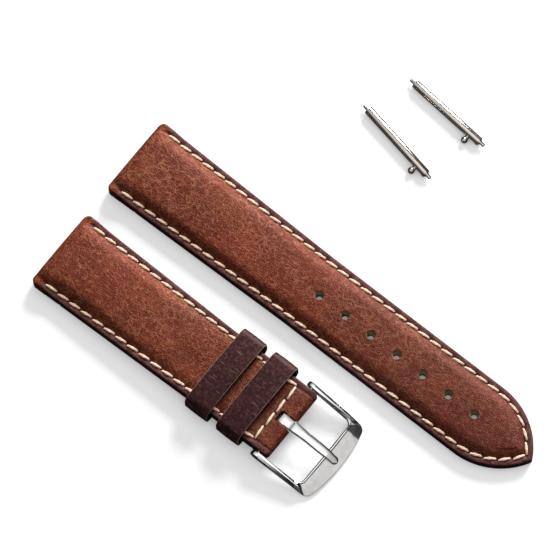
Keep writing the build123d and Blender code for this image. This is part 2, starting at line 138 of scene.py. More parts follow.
def layer(stations, lines, plan, heights, marks):
    """A closed leather layer: a grid wrapped round its section, with a column for each line."""
    mesh = bmesh.new()
    rows = len(stations)
    bmesh.ops.create_grid(mesh, x_segments=rows - 1, y_segments=len(lines) - 1, size=1)
    verts = list(mesh.verts)
    row = np.rint([(v.co.x + 1) / 2 * (rows - 1) for v in verts]).astype(int)
    column = np.rint([(v.co.y + 1) / 2 * (len(lines) - 1) for v in verts]).astype(int)
    station = np.array(stations)[row]
    inset, share, level, side = (np.array(values)[column] for values in zip(*lines))
    along, across = plan(station, inset, share)
    core_across = plan(station, np.minimum(inset, CORE_INSET), np.ones(len(verts)))[1]
    depth = inset + (1 - share) * core_across
    under, top = heights(along, across * side, depth)
    height = under + level * (top - under)
    if marks:
        names, values = zip(*marks(along, across * side, depth, level).items())
        for name in names:
            mesh.verts.layers.float.new(name)
        stores = [mesh.verts.layers.float[name] for name in names]
        for index, v in enumerate(mesh.verts):
            for store, value in zip(stores, values):
                v[store] = value[index]
    for index, v in enumerate(mesh.verts):
        v.co = (along[index], across[index] * side[index], height[index])
    bmesh.ops.remove_doubles(mesh, verts=mesh.verts, dist=0.0005)
    bmesh.ops.dissolve_degenerate(mesh, edges=mesh.edges, dist=0.0005)
    return mesh


def painted_edge(along, across, depth, level):
    """The dark paint on a layer's outer edge, run a little way on to its faces."""
    return {"edge_paint": band(depth, PAINT_REACH, PAINT_FADE)}


def strip(stations, start, end, lines, plan, heights, marks=painted_edge):
    """A layer that is cut square between two places, with both of its ends closed."""
    mesh = layer([x for x in stations if start < x < end], lines, plan, heights, marks)
    bmesh.ops.holes_fill(mesh, edges=[e for e in mesh.edges if e.is_boundary])
    return mesh


def shown(name, mesh, place, material, body, nodes, sharp=40):
    """Makes the piece's object: placed in its mesh, facing outwards, smooth but for its sharp edges."""
    bmesh.ops.transform(mesh, matrix=place, verts=mesh.verts)
    bmesh.ops.recalc_face_normals(mesh, faces=mesh.faces)
    data = bpy.data.meshes.new(name)
    mesh.to_mesh(data)
    mesh.free()
    data.shade_smooth()
    data.set_sharp_from_angle(angle=math.radians(sharp))
    data.materials.append(material)
    piece = bpy.data.objects.new(name, data)
    bpy.context.scene.collection.objects.link(piece)
    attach(piece, body)
    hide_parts(*nodes)
    return piece


def colour(code):
    """Linear colour of an sRGB hex value."""
    parts = [int(code[place:place + 2], 16) / 255 for place in (1, 3, 5)]
    return [p / 12.92 if p <= 0.04045 else ((p + 0.055) / 1.055)**2.4 for p in parts] + [1]


def every(size):
    """Scale of a pattern, in the object's metres, whose grain repeats every so many millimetres."""
    return 1000 / size


def node(tree, kind, inputs=None, **settings):
    """Adds one node; an input is a value, or the socket or node that feeds it."""
    made = tree.nodes.new(kind)
    for key, value in settings.items():
        setattr(made, key, value)
    for key, value in (inputs or {}).items():
        if isinstance(value, bpy.types.Node):
            value = next(socket for socket in value.outputs if socket.enabled)
        if isinstance(value, bpy.types.NodeSocket):
            tree.links.new(value, made.inputs[key])
        else:
            made.inputs[key].default_value = value
    return made


def new_material(name):
    """An empty material with its shader and output, and the object's own coordinates."""
    material = bpy.data.materials.new(name)
    material.use_nodes = True
    tree = material.node_tree
    tree.nodes.clear()
    shader = node(tree, "ShaderNodeBsdfPrincipled")
    node(tree, "ShaderNodeOutputMaterial", {"Surface": shader.outputs[0]})
    place = node(tree, "ShaderNodeTexCoord").outputs["Object"]
    return material, tree, shader, place


# Soft calf split, dyed tan: matt, with a short even nap. The real nap is too fine to show, so it is
# drawn about three times as coarse.
lining_leather, tree, shader, place = new_material("tan_calf_split")
cloud = node(tree, "ShaderNodeTexNoise", {"Vector": place, "Scale": every(5.556), "Detail": 4})
nap = node(tree, "ShaderNodeTexNoise", {"Vector": place, "Scale": every(0.3125), "Detail": 3})
nap_dark = node(tree, "ShaderNodeMapRange", {0: nap, 1: 0.35, 2: 0.65, 4: 0.35})
paint = node(tree, "ShaderNodeAttribute", attribute_name="edge_paint").outputs["Fac"]
tint = node(tree, "ShaderNodeMix", {0: cloud, 6: colour("#7c5238"), 7: colour("#94694a")}, data_type="RGBA")
for share, code in ((nap_dark, "#5f3b28"), (paint, EDGE_PAINT)):
    tint = node(tree, "ShaderNodeMix", {0: share, 6: tint, 7: colour(code)}, data_type="RGBA")
tree.links.new(tint.outputs[2], shader.inputs["Base Color"])
shader.inputs["Roughness"].default_value = 0.8
bump = node(tree, "ShaderNodeBump", {"Height": nap, "Strength": 0.5, "Distance": 0.00008})
tree.links.new(bump.outputs[0], shader.inputs["Normal"])

FIRST_HOLE = 58.2
HOLE_PITCH = 8.0
tongue_holes = [FIRST_HOLE + HOLE_PITCH * index for index in range(7)]

# Rows of the grid: close round the turned lug end, even between the holes, and closer round the tip.
lug_rows = [LUG_CORNER * (1 - math.cos(math.radians(9 * step))) for step in range(11)]
long_rows = lug_rows + list(np.linspace(LUG_CORNER, FIRST_HOLE, 169)[1:])
long_rows += list(np.linspace(FIRST_HOLE, tongue_holes[-1], 145)[1:]) + [106.533, 106.867, 107.2, TIP_START]
long_rows += [TIP_START + step / 40 * TIP_TURN for step in range(1, 41)]
long_rows += [TIP_START + TIP_TURN + (1 - TIP_TURN) * step / 6 for step in range(1, 7)]

PUNCH_REACH = 1.05
PUNCH_HALF = 1.0
PUNCH_RIM = 0.9
LIP_SHARE = 0.15
LIP_WEAR = 1.06


def punch(mesh, radius=1.12, low_radius=0.95):
    """Punches the row of tongue holes: a block of faces goes, and its rim is drawn in to a circle."""
    for place in tongue_holes:
        inside = [v for v in mesh.verts if abs(v.co.x - place) < PUNCH_REACH and abs(v.co.y) < PUNCH_HALF]
        rim = {v for v in inside if abs(v.co.x - place) > PUNCH_RIM or abs(v.co.y) > PUNCH_RIM}
        bmesh.ops.delete(mesh, geom=[v for v in inside if v not in rim], context="VERTS")
        ring = [e for e in mesh.edges if e.is_boundary and e.verts[0] in rim and e.verts[1] in rim]
        top = max(v.co.z for v in rim)
        low = min(v.co.z for v in rim)
        for v in rim:
            out = Vector((v.co.x - place, v.co.y))
            out *= (radius if v.co.z > (top + low) / 2 else low_radius) / out.length
            v.co.x = place + out.x
            v.co.y = out.y
        upper = [e for e in ring if e.verts[0].co.z > (top + low) / 2]
        lip = bmesh.ops.extrude_edge_only(mesh, edges=upper)["geom"]
        for v in lip:
            if isinstance(v, bmesh.types.BMVert):
                v.co.z -= LIP_SHARE * (top - low)
        for e in upper:
            for v in e.verts:
                v.co.x = place + (v.co.x - place) * LIP_WEAR
                v.co.y *= LIP_WEAR
        lip_edges = [e for e in lip if isinstance(e, bmesh.types.BMEdge)]
        lower = [e for e in ring if e not in set(upper)]
        bmesh.ops.bridge_loops(mesh, edges=lip_edges + lower)
        raw = mesh.verts.layers.float.get("raw_cut")
        paint = mesh.verts.layers.float.get("edge_paint")
        for v in {v for e in lip_edges + lower for v in e.verts}:
            if raw:
                v[raw] = 1.0
            if paint:
                v[paint] = 0.0


def lining_heights(along, across, depth):
    """The lining's underside with its pressed groove and sanded edge, and its flat top."""
    groove = GROOVE_DEPTH * band(np.abs(depth - STITCH_INSET), GROOVE_HALF, GROOVE_SLOPE)
    sanded = SANDED_DEPTH * band(depth, SANDED_WIDTH, SANDED_WIDTH)**2
    return groove + sanded, np.full(len(along), LINING)


lining_lines = lines_around([0, 0.5, CORE_INSET], GROOVE_INSETS, 1)
mesh = strip(long_rows, FLAP_END, LONG_LENGTH, lining_lines, long_plan, lining_heights)
punch(mesh, 0.85, 0.85)
shown("long_lining_strip", mesh, LONG_PLACE, lining_leather, "strap_set", ["long_lining"])


# Stiffener of the long piece: a 0.4 mm strip of pressed fibre that keeps the strap from stretching.
# It is glued between the lining and the padding, and its edge shows only as a line in the painted edge.
STIFFENER = 0.4
CORE_START = 4.6
STIFFENER_INSETS = [0.05, 0.5, CORE_INSET]

# Pressed fibre: a dull pale board with fine flecks.
stiffener_fibre, tree, shader, place = new_material("pressed_fibre")
fibre = node(tree, "ShaderNodeTexNoise", {"Vector": place, "Scale": every(0.4), "Detail": 4})
paint = node(tree, "ShaderNodeAttribute", attribute_name="edge_paint").outputs["Fac"]
tint = node(tree, "ShaderNodeMix", {0: fibre, 6: colour("#c3b9a0"), 7: colour("#d8cfb8")}, data_type="RGBA")
tint = node(tree, "ShaderNodeMix", {0: paint, 6: tint, 7: colour(EDGE_PAINT)}, data_type="RGBA")
tree.links.new(tint.outputs[2], shader.inputs["Base Color"])
shader.inputs["Roughness"].default_value = 0.7


def stiffener_heights(along, across, depth):
    return np.full(len(along), LINING), np.full(len(along), LINING + STIFFENER)


stiffener_lines = lines_around(STIFFENER_INSETS, STIFFENER_INSETS, 0)
mesh = strip(long_rows, CORE_START, LONG_LENGTH, stiffener_lines, long_plan, stiffener_heights)
punch(mesh, 0.9, 0.85)
shown("long_stiffener_strip", mesh, LONG_PLACE, stiffener_fibre, "strap_set", ["long_stiffener"])


# Padding of the long piece: a strip of soft leather board, skived thin at its sides so that it swells
# the top leather into a crown. It stops short of the stitches and of the tip. The edge and crown lines
# give places along the strap and the leather's height there.
BASE = LINING + STIFFENER
LEATHER = 1.2
SHOULDER = 2.05
FLANK_WIDTH = 2.8
FLANK_SHARE = 0.68
PADDING_INSET = 3.3
PADDING_THIN = 0.3
PADDING_GAP = 0.02
LONG_EDGE = ([0, 3.6, 7.2, 60, 124], [3.8, 3.8, 3.0, 2.8, 2.6])
LONG_CROWN = ([0, 9, 54, 107.5, 124], [4.9, 4.9, 4.2, 4.0, 3.6])


def crown_height(along, depth, edge_line, crown_line):
    """Height of the top leather: the stitched edge, a quick padded shoulder and a gentle crown."""
    edge = np.interp(along, *edge_line)
    crown = np.interp(along, *crown_line)
    flank = np.clip((depth - SHOULDER) / FLANK_WIDTH, 0, 1)
    reach = np.clip((depth - SHOULDER) / (half_width(along) - SHOULDER), 0, 1)
    rise = FLANK_SHARE * (1 - (1 - flank)**2) + (1 - FLANK_SHARE) * (1 - (1 - reach)**2)
    return edge + (crown - edge) * rise


def padding(name, cad_node, place, rows, end, plan, edge_line, crown_line):
    """A padding fills the room under its top leather, drawn in from the strap's plan on every side."""
    def drawn_in(station, inset, share):
        return plan(station, np.minimum(inset + PADDING_INSET, CORE_INSET), share)

    def heights(along, across, depth):
        top = crown_height(along, depth, edge_line, crown_line) - LEATHER
        return np.full(len(along), BASE), np.maximum(top, BASE + PADDING_THIN) - PADDING_GAP

    lines = lines_around([0, CORE_INSET], [0, CORE_INSET], 0)
    mesh = strip(rows, CORE_START, end, lines, drawn_in, heights, None)
    if rows is long_rows:
        punch(mesh, 1.0, 0.9)
    shown(name, mesh, place, padding_board, "strap_set", [cad_node])


# Leather board: pale, flocked and quite matt.
padding_board, tree, shader, place = new_material("leather_board")
flock = node(tree, "ShaderNodeTexNoise", {"Vector": place, "Scale": every(0.6667), "Detail": 5})
tint = node(tree, "ShaderNodeMix", {0: flock, 6: colour("#cdc3aa"), 7: colour("#e2d8bd")}, data_type="RGBA")
tree.links.new(tint.outputs[2], shader.inputs["Base Color"])
shader.inputs["Roughness"].default_value = 0.9

padding("long_padding_strip", "long_filler", LONG_PLACE, long_rows, TIP_START, long_plan,
        LONG_EDGE, LONG_CROWN)


# Top leather of the long piece: vegetable-tanned calf, waxed and hand-polished, 1.2 mm thick. It is
# moulded wet over the padding, turned round the lug end and glued under it as a flap, then trimmed,
# and its cut edge is painted dark. Awl holes for the stitches pull it down into a soft valley.
STITCH_PITCH = 3.6
STITCH_START = 3.6
RIM_ROUND = 0.5
NOSE_LENGTH = 2.3
NOSE_UNDER = 1.4
NOSE_MIDDLE = 2.0
VALLEY_DEPTH = 0.14
VALLEY_WIDTH = 0.38
DIMPLE_DEPTH = 0.2
DIMPLE_WIDTH = 0.42
PULL_DEPTH = 0.07
PULL_WIDTH = 1.1
WAVE_HEIGHT = 0.05
WAVE_SIZE = 2.3
AWL_SHADE_WIDTH = 0.36
BURNISH_REACH = 2.05
FLAP_START = 3.6
LUG_TUNNEL = (2.4, 2.0, 1.2)
KNOB_NOTCH = ((1.4, 5.7, -1), (3.4, 8.4, 2))
RIM_INSETS = [4.0, 3.6, 3.25, 2.95, 2.7, 2.5, 2.32, 2.15, 2.0, 1.82, 1.65, 1.48, 1.3, 1.12, 0.92]
RIM_INSETS += [0.7, 0.5, 0.34, 0.2, 0.1, 0.03, 0]
RIDGE_START = 112
RIDGE_HALF = 4.5
RIDGE_FOOT = 2.6


def long_side(side):
    """The awl holes of one side, evenly spaced along the path that the thread follows."""
    turn = TIP_START + np.linspace(0, TIP_TURN, 120)[1:]
    tip_along, tip_across = long_plan(turn, np.full(len(turn), STITCH_INSET), 1)
    along = np.linspace(STITCH_START, TIP_START, 400)
    across = np.concatenate([half_width(along) - STITCH_INSET, tip_across]) * side
    along = np.concatenate([along, tip_along])
    run = np.concatenate([[0], np.cumsum(np.hypot(np.diff(along), np.diff(across)))])
    marks = np.linspace(0, run[-1], round(run[-1] / STITCH_PITCH) + 1)
    return list(zip(np.interp(marks, run, along), np.interp(marks, run, across)))


def nearest(along, across, holes):
    """Distance of each place to the nearest awl hole."""
    return np.min([np.hypot(along - x, across - y) for x, y in holes], axis=0)


def waves(along, across, size):
    """A slow unevenness of hand-worked leather, between -1 and 1; its factors keep the sines apart."""
    a = np.sin(along / size + 1.7 * np.sin(across / size * 1.3 + 0.4))
    return (a + np.sin(across / size * 1.9 + along / size * 0.6 + 2.1)) / 2


def skin(along, across, depth, edge_line, crown_line, holes):
    """The outer face of a top leather, with its rolled rim, stitch valley and awl dimples."""
    top = crown_height(along, depth, edge_line, crown_line)
    rim = np.clip(RIM_ROUND - depth, 0, RIM_ROUND)
    top -= RIM_ROUND - np.sqrt(np.maximum(RIM_ROUND**2 - rim**2, 0))
    top -= VALLEY_DEPTH * np.exp(-((depth - STITCH_INSET) / VALLEY_WIDTH)**2) * (along > STITCH_START - 1)
    gap = nearest(along, across, holes)
    top -= DIMPLE_DEPTH * np.exp(-(gap / DIMPLE_WIDTH)**2) + PULL_DEPTH * np.exp(-(gap / PULL_WIDTH)**2)
    top += WAVE_HEIGHT * waves(along, across, WAVE_SIZE) * np.clip((depth - 1.8) / 2, 0, 1)
    nose = np.sqrt(1 - np.clip(1 - along / NOSE_LENGTH, 0, 1)**2)
    return NOSE_MIDDLE + (top - NOSE_MIDDLE) * nose


def under_skin(along, depth, edge_line, crown_line, padding_end):
    """The inner face of a top leather: over the padding, and turned under at the lug end."""
    arch = crown_height(along, depth, edge_line, crown_line) - LEATHER
    padded = (depth > PADDING_INSET) & (along < padding_end)
    under = np.where(padded, np.maximum(arch, BASE + PADDING_THIN), BASE)
    nose = np.sqrt(1 - np.clip(1 - along / NOSE_UNDER, 0, 1)**2)
    return np.where(along < CORE_START, NOSE_MIDDLE * (1 - nose), under)


def long_top_heights(along, across, depth):
    top = skin(along, across, depth, LONG_EDGE, LONG_CROWN, long_holes)
    return under_skin(along, depth, LONG_EDGE, LONG_CROWN, TIP_START), top


def skin_marks(along, across, depth, level, holes, handled):
    """Painted shade at the awl holes, and where the leather is burnished beside its seam, cut raw, dark from
    handling and painted.
    """
    lug_clear = np.clip((along - 2) / 2.5, 0, 1)
    # The awl holes are only shallow dimples in the mesh, so the shade inside them is painted on as dark dots.
    return {
        "awl_hole": np.exp(-(nearest(along, across, holes) / AWL_SHADE_WIDTH)**2) * (level > 0.5),
        "burnish": band(depth, BURNISH_REACH, 0.5) * lug_clear * (level > 0.5),
        "raw_cut": np.zeros(len(along)),
        "handled": np.interp(along, *handled),
        "edge_paint": band(depth, 0.297, 0.22) * (along > 1.2),
    }


def long_marks(along, across, depth, level):
    return skin_marks(along, across, depth, level, long_holes, ([40, 100, 124], [0, 0.45, 0.5]))


def cut_away(mesh, tool, operation="DIFFERENCE"):
    """Cuts a tool's shape out of a piece, as a drill or a punch does; the cut faces count as cut edge."""
    paint = tool.verts.layers.float.new("edge_paint")
    for v in tool.verts:
        v[paint] = 1.0
    shapes = []
    for shape in (mesh, tool):
        data = bpy.data.meshes.new("cutting")
        shape.to_mesh(data)
        shape.free()
        shapes.append(bpy.data.objects.new("cutting", data))
        bpy.context.scene.collection.objects.link(shapes[-1])
    cut = shapes[0].modifiers.new("cut", "BOOLEAN")
    cut.operation = operation
    cut.object = shapes[1]
    made = bmesh.new()
    made.from_object(shapes[0], bpy.context.evaluated_depsgraph_get())
    for shape in shapes:
        data = shape.data
        bpy.data.objects.remove(shape)
        bpy.data.meshes.remove(data)
    return made


def joined(mesh, extra):
    """Adds another shape to a piece, overlapping it as two glued layers do."""
    data = bpy.data.meshes.new("joined")
    extra.to_mesh(data)
    extra.free()
    mesh.from_mesh(data)
    bpy.data.meshes.remove(data)
    return mesh


def drill(tool, place, height, radius):
    """Adds a round cutter that lies across the strap and reaches past both of its edges."""
    spot = Matrix.Translation((place, 0, height)) @ Matrix.Rotation(math.pi / 2, 4, "X")
    bmesh.ops.create_cone(tool, cap_ends=True, segments=40, radius1=radius, radius2=radius, depth=40,
                          matrix=spot)


def block(tool, low, high):
    """Adds a square cutter between two corners."""
    low, high = Vector(low), Vector(high)
    size = Matrix.Diagonal((*(high - low), 1))
    bmesh.ops.create_cube(tool, size=1, matrix=Matrix.Translation((low + high) / 2) @ size)


# Waxed calf: fine pebbled grain, paler along its creases where the wax has cracked, darker in its pits.
# Real pores lie closer than 0.2 mm, too fine to show, so they are drawn two to three times as coarse.
GRAIN_BEND = 0.0004
WRINKLE_BEND = 0.0014
top_leather, tree, shader, place = new_material("waxed_calf")
warp = node(tree, "ShaderNodeTexNoise", {"Vector": place, "Scale": every(0.6667), "Detail": 2})
bent = node(tree, "ShaderNodeMix", {0: GRAIN_BEND, 4: place, 5: warp.outputs["Color"]}, data_type="VECTOR")
cloud = node(tree, "ShaderNodeTexNoise", {"Vector": place, "Scale": every(9.091), "Detail": 4})
amber = {"Vector": place, "Scale": every(13.33), "Detail": 3, "Distortion": 0.6}
amber = node(tree, "ShaderNodeTexNoise", amber)
mottle = node(tree, "ShaderNodeTexNoise", {"Vector": place, "Scale": every(1.613), "Detail": 4})
pores = {"Vector": place, "Scale": every(0.3846), "Detail": 3, "Roughness": 0.6}
pores = node(tree, "ShaderNodeTexNoise", pores)
pit = node(tree, "ShaderNodeTexVoronoi", {"Vector": bent, "Scale": every(0.4651)}, feature="DISTANCE_TO_EDGE")
share = node(tree, "ShaderNodeMapRange", {0: cloud, 1: 0.4, 2: 0.62})
tint = node(tree, "ShaderNodeMix", {0: share, 6: colour("#82321a"), 7: colour("#5f1d10")}, data_type="RGBA")
for pattern, low, high, most, code in (
    (amber, 0.55, 0.72, 0.4, "#8f4a14"),
    (mottle, 0.46, 0.66, 0.45, "#521a10"),
    (pit, 0.08, 0.3, 0.95, "#430f08"),
    (pores, 0.49, 0.62, 0.55, "#a9593a"),
):
    share = node(tree, "ShaderNodeMapRange", {0: pattern, 1: low, 2: high, 4: most})
    tint = node(tree, "ShaderNodeMix", {0: share, 6: tint, 7: colour(code)}, data_type="RGBA")

# Two sets of fine creases cross each other, and wider wrinkles show where the strap was worn.
folds = []
for turn, sizes in ((0.65, (2.381, 1.0, 1.111)), (-0.8, (2.0, 0.8696, 1.111))):
    scale = [every(size) for size in sizes]
    fan = node(tree, "ShaderNodeMapping", {"Vector": bent, "Rotation": (0, 0, turn), "Scale": scale})
    fold = node(tree, "ShaderNodeTexVoronoi", {"Vector": fan, "Scale": 1.0}, feature="DISTANCE_TO_EDGE")
    folds.append(fold)
crease = node(tree, "ShaderNodeMath", {0: folds[0], 1: folds[1]}, operation="MINIMUM")
patch = node(tree, "ShaderNodeTexNoise", {"Vector": place, "Scale": every(1.111), "Detail": 2})
creased = node(tree, "ShaderNodeMapRange", {0: patch, 1: 0.45, 2: 0.6, 3: 0.1})
crease_pale = node(tree, "ShaderNodeMapRange", {0: crease, 1: 0.01, 2: 0.06, 3: 0.75, 4: 0})
drift = node(tree, "ShaderNodeTexNoise", {"Vector": place, "Scale": every(2.381), "Detail": 3})
drift = drift.outputs["Color"]
slack = node(tree, "ShaderNodeMix", {0: WRINKLE_BEND, 4: place, 5: drift}, data_type="VECTOR")
scale = [every(size) for size in (3.333, 2.174, 3.333)]
slack = node(tree, "ShaderNodeMapping", {"Vector": slack, "Rotation": (0, 0, 0.4), "Scale": scale})
wrinkle = node(tree, "ShaderNodeTexVoronoi", {"Vector": slack, "Scale": 1.0}, feature="DISTANCE_TO_EDGE")
wrinkle_pale = node(tree, "ShaderNodeMapRange", {0: wrinkle, 1: 0.005, 2: 0.04, 3: 0.62, 4: 0})
patch = node(tree, "ShaderNodeTexNoise", {"Vector": place, "Scale": every(11.76), "Detail": 2})
worn = node(tree, "ShaderNodeMapRange", {0: patch, 1: 0.42, 2: 0.58})
for line, where, code in ((crease_pale, creased, "#c67e58"), (wrinkle_pale, worn, "#bb7a5a")):
    share = node(tree, "ShaderNodeMath", {0: line, 1: where}, operation="MULTIPLY")
    tint = node(tree, "ShaderNodeMix", {0: share, 6: tint, 7: colour(code)}, data_type="RGBA")

# Hands have darkened the tail, the maker's iron the edge; the awl holes' painted shade, the paint and the
# punch come last.
share = node(tree, "ShaderNodeMapRange", {0: mottle, 1: 0.4, 2: 0.6})
rim = node(tree, "ShaderNodeMix", {0: share, 6: colour("#6b4542"), 7: colour("#472427")}, data_type="RGBA")
for mark, low, high, most, shade in (
    ("handled", 0.0, 1.0, 1.0, colour("#3b0f12")),
    ("burnish", 0.0, 1.0, 0.9, rim),
    ("awl_hole", 0.2, 0.8, 0.85, colour("#2b140d")),
    ("edge_paint", 0.25, 1.0, 1.0, colour(EDGE_PAINT)),
    ("raw_cut", 0.0, 1.0, 1.0, colour("#a09274")),
):
    mark = node(tree, "ShaderNodeAttribute", attribute_name=mark).outputs["Fac"]
    share = node(tree, "ShaderNodeMapRange", {0: mark, 1: low, 2: high, 4: most})
    tint = node(tree, "ShaderNodeMix", {0: share, 6: tint, 7: shade}, data_type="RGBA")
tree.links.new(tint.outputs[2], shader.inputs["Base Color"])
gloss = node(tree, "ShaderNodeMapRange", {0: pores, 1: 0.3, 2: 0.7, 3: 0.36, 4: 0.5})
tree.links.new(gloss.outputs[0], shader.inputs["Roughness"])
shader.inputs["Specular IOR Level"].default_value = 0.44
shader.inputs["Specular Tint"].default_value = colour("#eaaea2")
pebble = node(tree, "ShaderNodeMapRange", {0: pit, 1: 0.0, 2: 0.3})
grain = node(tree, "ShaderNodeMath", {0: pebble, 1: pores}, operation="ADD")
grain = node(tree, "ShaderNodeBump", {"Height": grain, "Strength": 0.7, "Distance": 0.00007})
crack = node(tree, "ShaderNodeMapRange", {0: crease, 1: 0.0, 2: 0.1})
crack = {"Height": crack, "Strength": 0.35, "Distance": 0.00005, "Normal": grain}
crack = node(tree, "ShaderNodeBump", crack)
tree.links.new(crack.outputs[0], shader.inputs["Normal"])

long_holes = long_side(1) + long_side(-1)
top_lines = lines_around(RIM_INSETS, [0, 0.2, 1.2, 2.1, 3.29, 3.31, CORE_INSET], 3)
mesh = layer(long_rows, top_lines, long_plan, long_top_heights, long_marks)
ridge = [v for v in mesh.verts if v.co.x > RIDGE_START and abs(v.co.y) < RIDGE_HALF and v.co.z > RIDGE_FOOT]
for rub in range(8):
    bmesh.ops.smooth_vert(mesh, verts=ridge, factor=0.5, use_axis_x=False, use_axis_y=False, use_axis_z=True)
punch(mesh)
bmesh.ops.recalc_face_normals(mesh, faces=mesh.faces)
tunnel = bmesh.new()
drill(tunnel, *LUG_TUNNEL)
mesh = cut_away(mesh, tunnel)
notch = bmesh.new()
block(notch, *KNOB_NOTCH)
mesh = cut_away(mesh, notch)
mesh = joined(mesh, strip(long_rows, FLAP_START, FLAP_END, lining_lines, long_plan, lining_heights))
shown("long_top_leather_skin", mesh, LONG_PLACE, top_leather, "strap_set",
      ["long_top_leather"])


# Thread of the long piece: three-ply waxed linen, 0.65 mm, saddle-stitched by hand. Each stitch rises
# out of one awl hole and dives into the next, a little aslant, and the row shows again underneath.
STITCH_END = 0.05
STITCH_RISE = 0.52
STITCH_FOOT = 0.22
STITCH_HALF = 0.32
STITCH_LIFT = 0.2
STITCH_SLANT = 0.18
STRAND_DEPTH = 0.14
STRAND_TURN = 13
AWL_DEPTH = 0.2
GROOVE_SEAT = 0.17

# Waxed linen: cream and slightly translucent, with painted shade in brown along the furrows between its
# twisted plies, and a faint painted glow that lifts the stitches out of the crown's shade.
waxed_linen, tree, shader, place = new_material("waxed_linen")
lay = node(tree, "ShaderNodeUVMap", uv_map="thread").outputs[0]
ply = node(tree, "ShaderNodeMapping", {"Vector": lay, "Rotation": (0, 0, 0.9), "Scale": (9, 3, 1)})
turns = {"Vector": ply, "Scale": 1.0, "Distortion": 0.6, "Detail": 2}
twist = node(tree, "ShaderNodeTexWave", turns, bands_direction="X").outputs[1]
wax = node(tree, "ShaderNodeTexNoise", {"Vector": place, "Scale": every(1.429), "Detail": 2})
# Painted shade: the furrows between the twisted plies are darkened towards brown.
furrow_shade = node(tree, "ShaderNodeMapRange", {0: twist, 1: 0.0, 2: 0.35, 3: 0.55, 4: 0})
tint = node(tree, "ShaderNodeMix", {0: wax, 6: colour("#ffe6c8"), 7: colour("#fff3df")}, data_type="RGBA")
tint = node(tree, "ShaderNodeMix", {0: furrow_shade, 6: tint, 7: colour("#c08c5c")}, data_type="RGBA")
tree.links.new(tint.outputs[2], shader.inputs["Base Color"])
shader.inputs["Roughness"].default_value = 0.55
# A faint painted glow in the thread's own tint, so that stitches lying in shade still show bright.
shader.inputs["Emission Color"].default_value = colour("#ffd2b4")
shader.inputs["Emission Strength"].default_value = 0.26
shader.inputs["Subsurface Weight"].default_value = 0.5
shader.inputs["Subsurface Radius"].default_value = (1.0, 1.0, 1.0)
shader.inputs["Subsurface Scale"].default_value = 0.0002
bump = node(tree, "ShaderNodeBump", {"Height": twist, "Strength": 0.5, "Distance": 0.0001})
tree.links.new(bump.outputs[0], shader.inputs["Normal"])


def stitch(mesh, start, end, height_start, height_end, up=1.0):
    """One stitch: a grid wrapped round the line from hole to hole, flattened and pulled tight."""
    first = len(mesh.verts)
    bmesh.ops.create_grid(mesh, x_segments=16, y_segments=12, size=1, calc_uvs=True)
    mesh.verts.ensure_lookup_table()
    made = [mesh.verts[index] for index in range(first, len(mesh.verts))]
    a, b = Vector((*start, height_start)), Vector((*end, height_end))
    forward = (b - a).normalized()
    sideways = Vector((0, 0, 1)).cross(forward).normalized()
    over = forward.cross(sideways) * up
    for v in made:
        share, turn = (v.co.x + 1) / 2, (v.co.y + 1) * math.pi
        swell = math.sin(math.pi * min(max(share, 0.001), 0.999))**0.28
        spot = a.lerp(b, STITCH_END + (1 - 2 * STITCH_END) * share)
        spot += sideways * STITCH_SLANT * (share - 0.5) * 2 + over * (STITCH_RISE * swell - STITCH_FOOT)
        lift = math.copysign(abs(math.sin(turn))**0.4, math.sin(turn))
        strands = 1 + STRAND_DEPTH * math.cos(2 * turn + STRAND_TURN * share)
        v.co = spot + swell * strands * (sideways * STITCH_HALF * math.cos(turn) + over * STITCH_LIFT * lift)


def seam(name, cad_node, place, rows, edge_line):
    """Sews rows of stitches, on top and in the groove below, whose strands keep their lay."""
    mesh = bmesh.new()
    mesh.loops.layers.uv.new("thread")
    for holes in rows:
        for start, end in zip(holes, holes[1:]):
            heights = [float(np.interp(hole[0], *edge_line)) - AWL_DEPTH for hole in (start, end)]
            stitch(mesh, start, end, *heights)
            stitch(mesh, start, end, GROOVE_DEPTH + GROOVE_SEAT, GROOVE_DEPTH + GROOVE_SEAT, -1.0)
    bmesh.ops.remove_doubles(mesh, verts=mesh.verts, dist=0.0001)
    shown(name, mesh, place, waxed_linen, "strap_set", [cad_node], 80)


seam("long_thread", "long_stitching", LONG_PLACE, [long_side(1), long_side(-1)], LONG_EDGE)


# Lining, stiffener and padding of the short piece: the same three layers as in the long piece, cut
# shorter. They end before the fold, where the top leather alone is turned round the buckle's bar.
SHORT_LENGTH = 73.4
FOLD_CORNER = 1.2
FOLD_HEIGHT = 3.1
FOLD_ROOM = 5.0
PADDING_END = 59.6
CROSS_PLACE = 67.9
SHORT_START = -0.06133
SHORT_TILT = 1.4648
SHORT_STITCHES = 18
SHORT_PITCH = (CROSS_PLACE - STITCH_START) / SHORT_STITCHES
SHORT_EDGE = ([0, 3.6, 3.6 + SHORT_PITCH, CROSS_PLACE - 3 * SHORT_PITCH, CROSS_PLACE - 2 * SHORT_PITCH, 73.4],
              [3.8, 3.8, 2.9, 2.8, FOLD_HEIGHT, FOLD_HEIGHT])
SHORT_CROWN = ([0, 9, 48.9, 62, 73.4], [4.9, 4.9, 3.3, FOLD_HEIGHT, FOLD_HEIGHT])

short_low, short_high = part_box("short_top_leather")
SHORT_PLACE = Matrix.Translation((SHORT_START, (short_low.y + short_high.y) / 2, 0))
SHORT_PLACE = SHORT_PLACE @ Matrix.Rotation(math.radians(-SHORT_TILT), 4, "Y") @ Matrix.Scale(0.001, 4)


def short_plan(station, inset, share):
    """Plan of the short piece, with its lug corners and the small corners of the fold."""
    half = half_width(station)
    corner = np.clip(LUG_CORNER - station, 0, LUG_CORNER)
    drop = LUG_CORNER - np.sqrt(LUG_CORNER**2 - corner**2)
    corner = np.clip(station - SHORT_LENGTH + FOLD_CORNER, 0, FOLD_CORNER)
    drop = drop + FOLD_CORNER - np.sqrt(FOLD_CORNER**2 - corner**2)
    return station, (half - inset - drop * (1 - inset / half)) * share


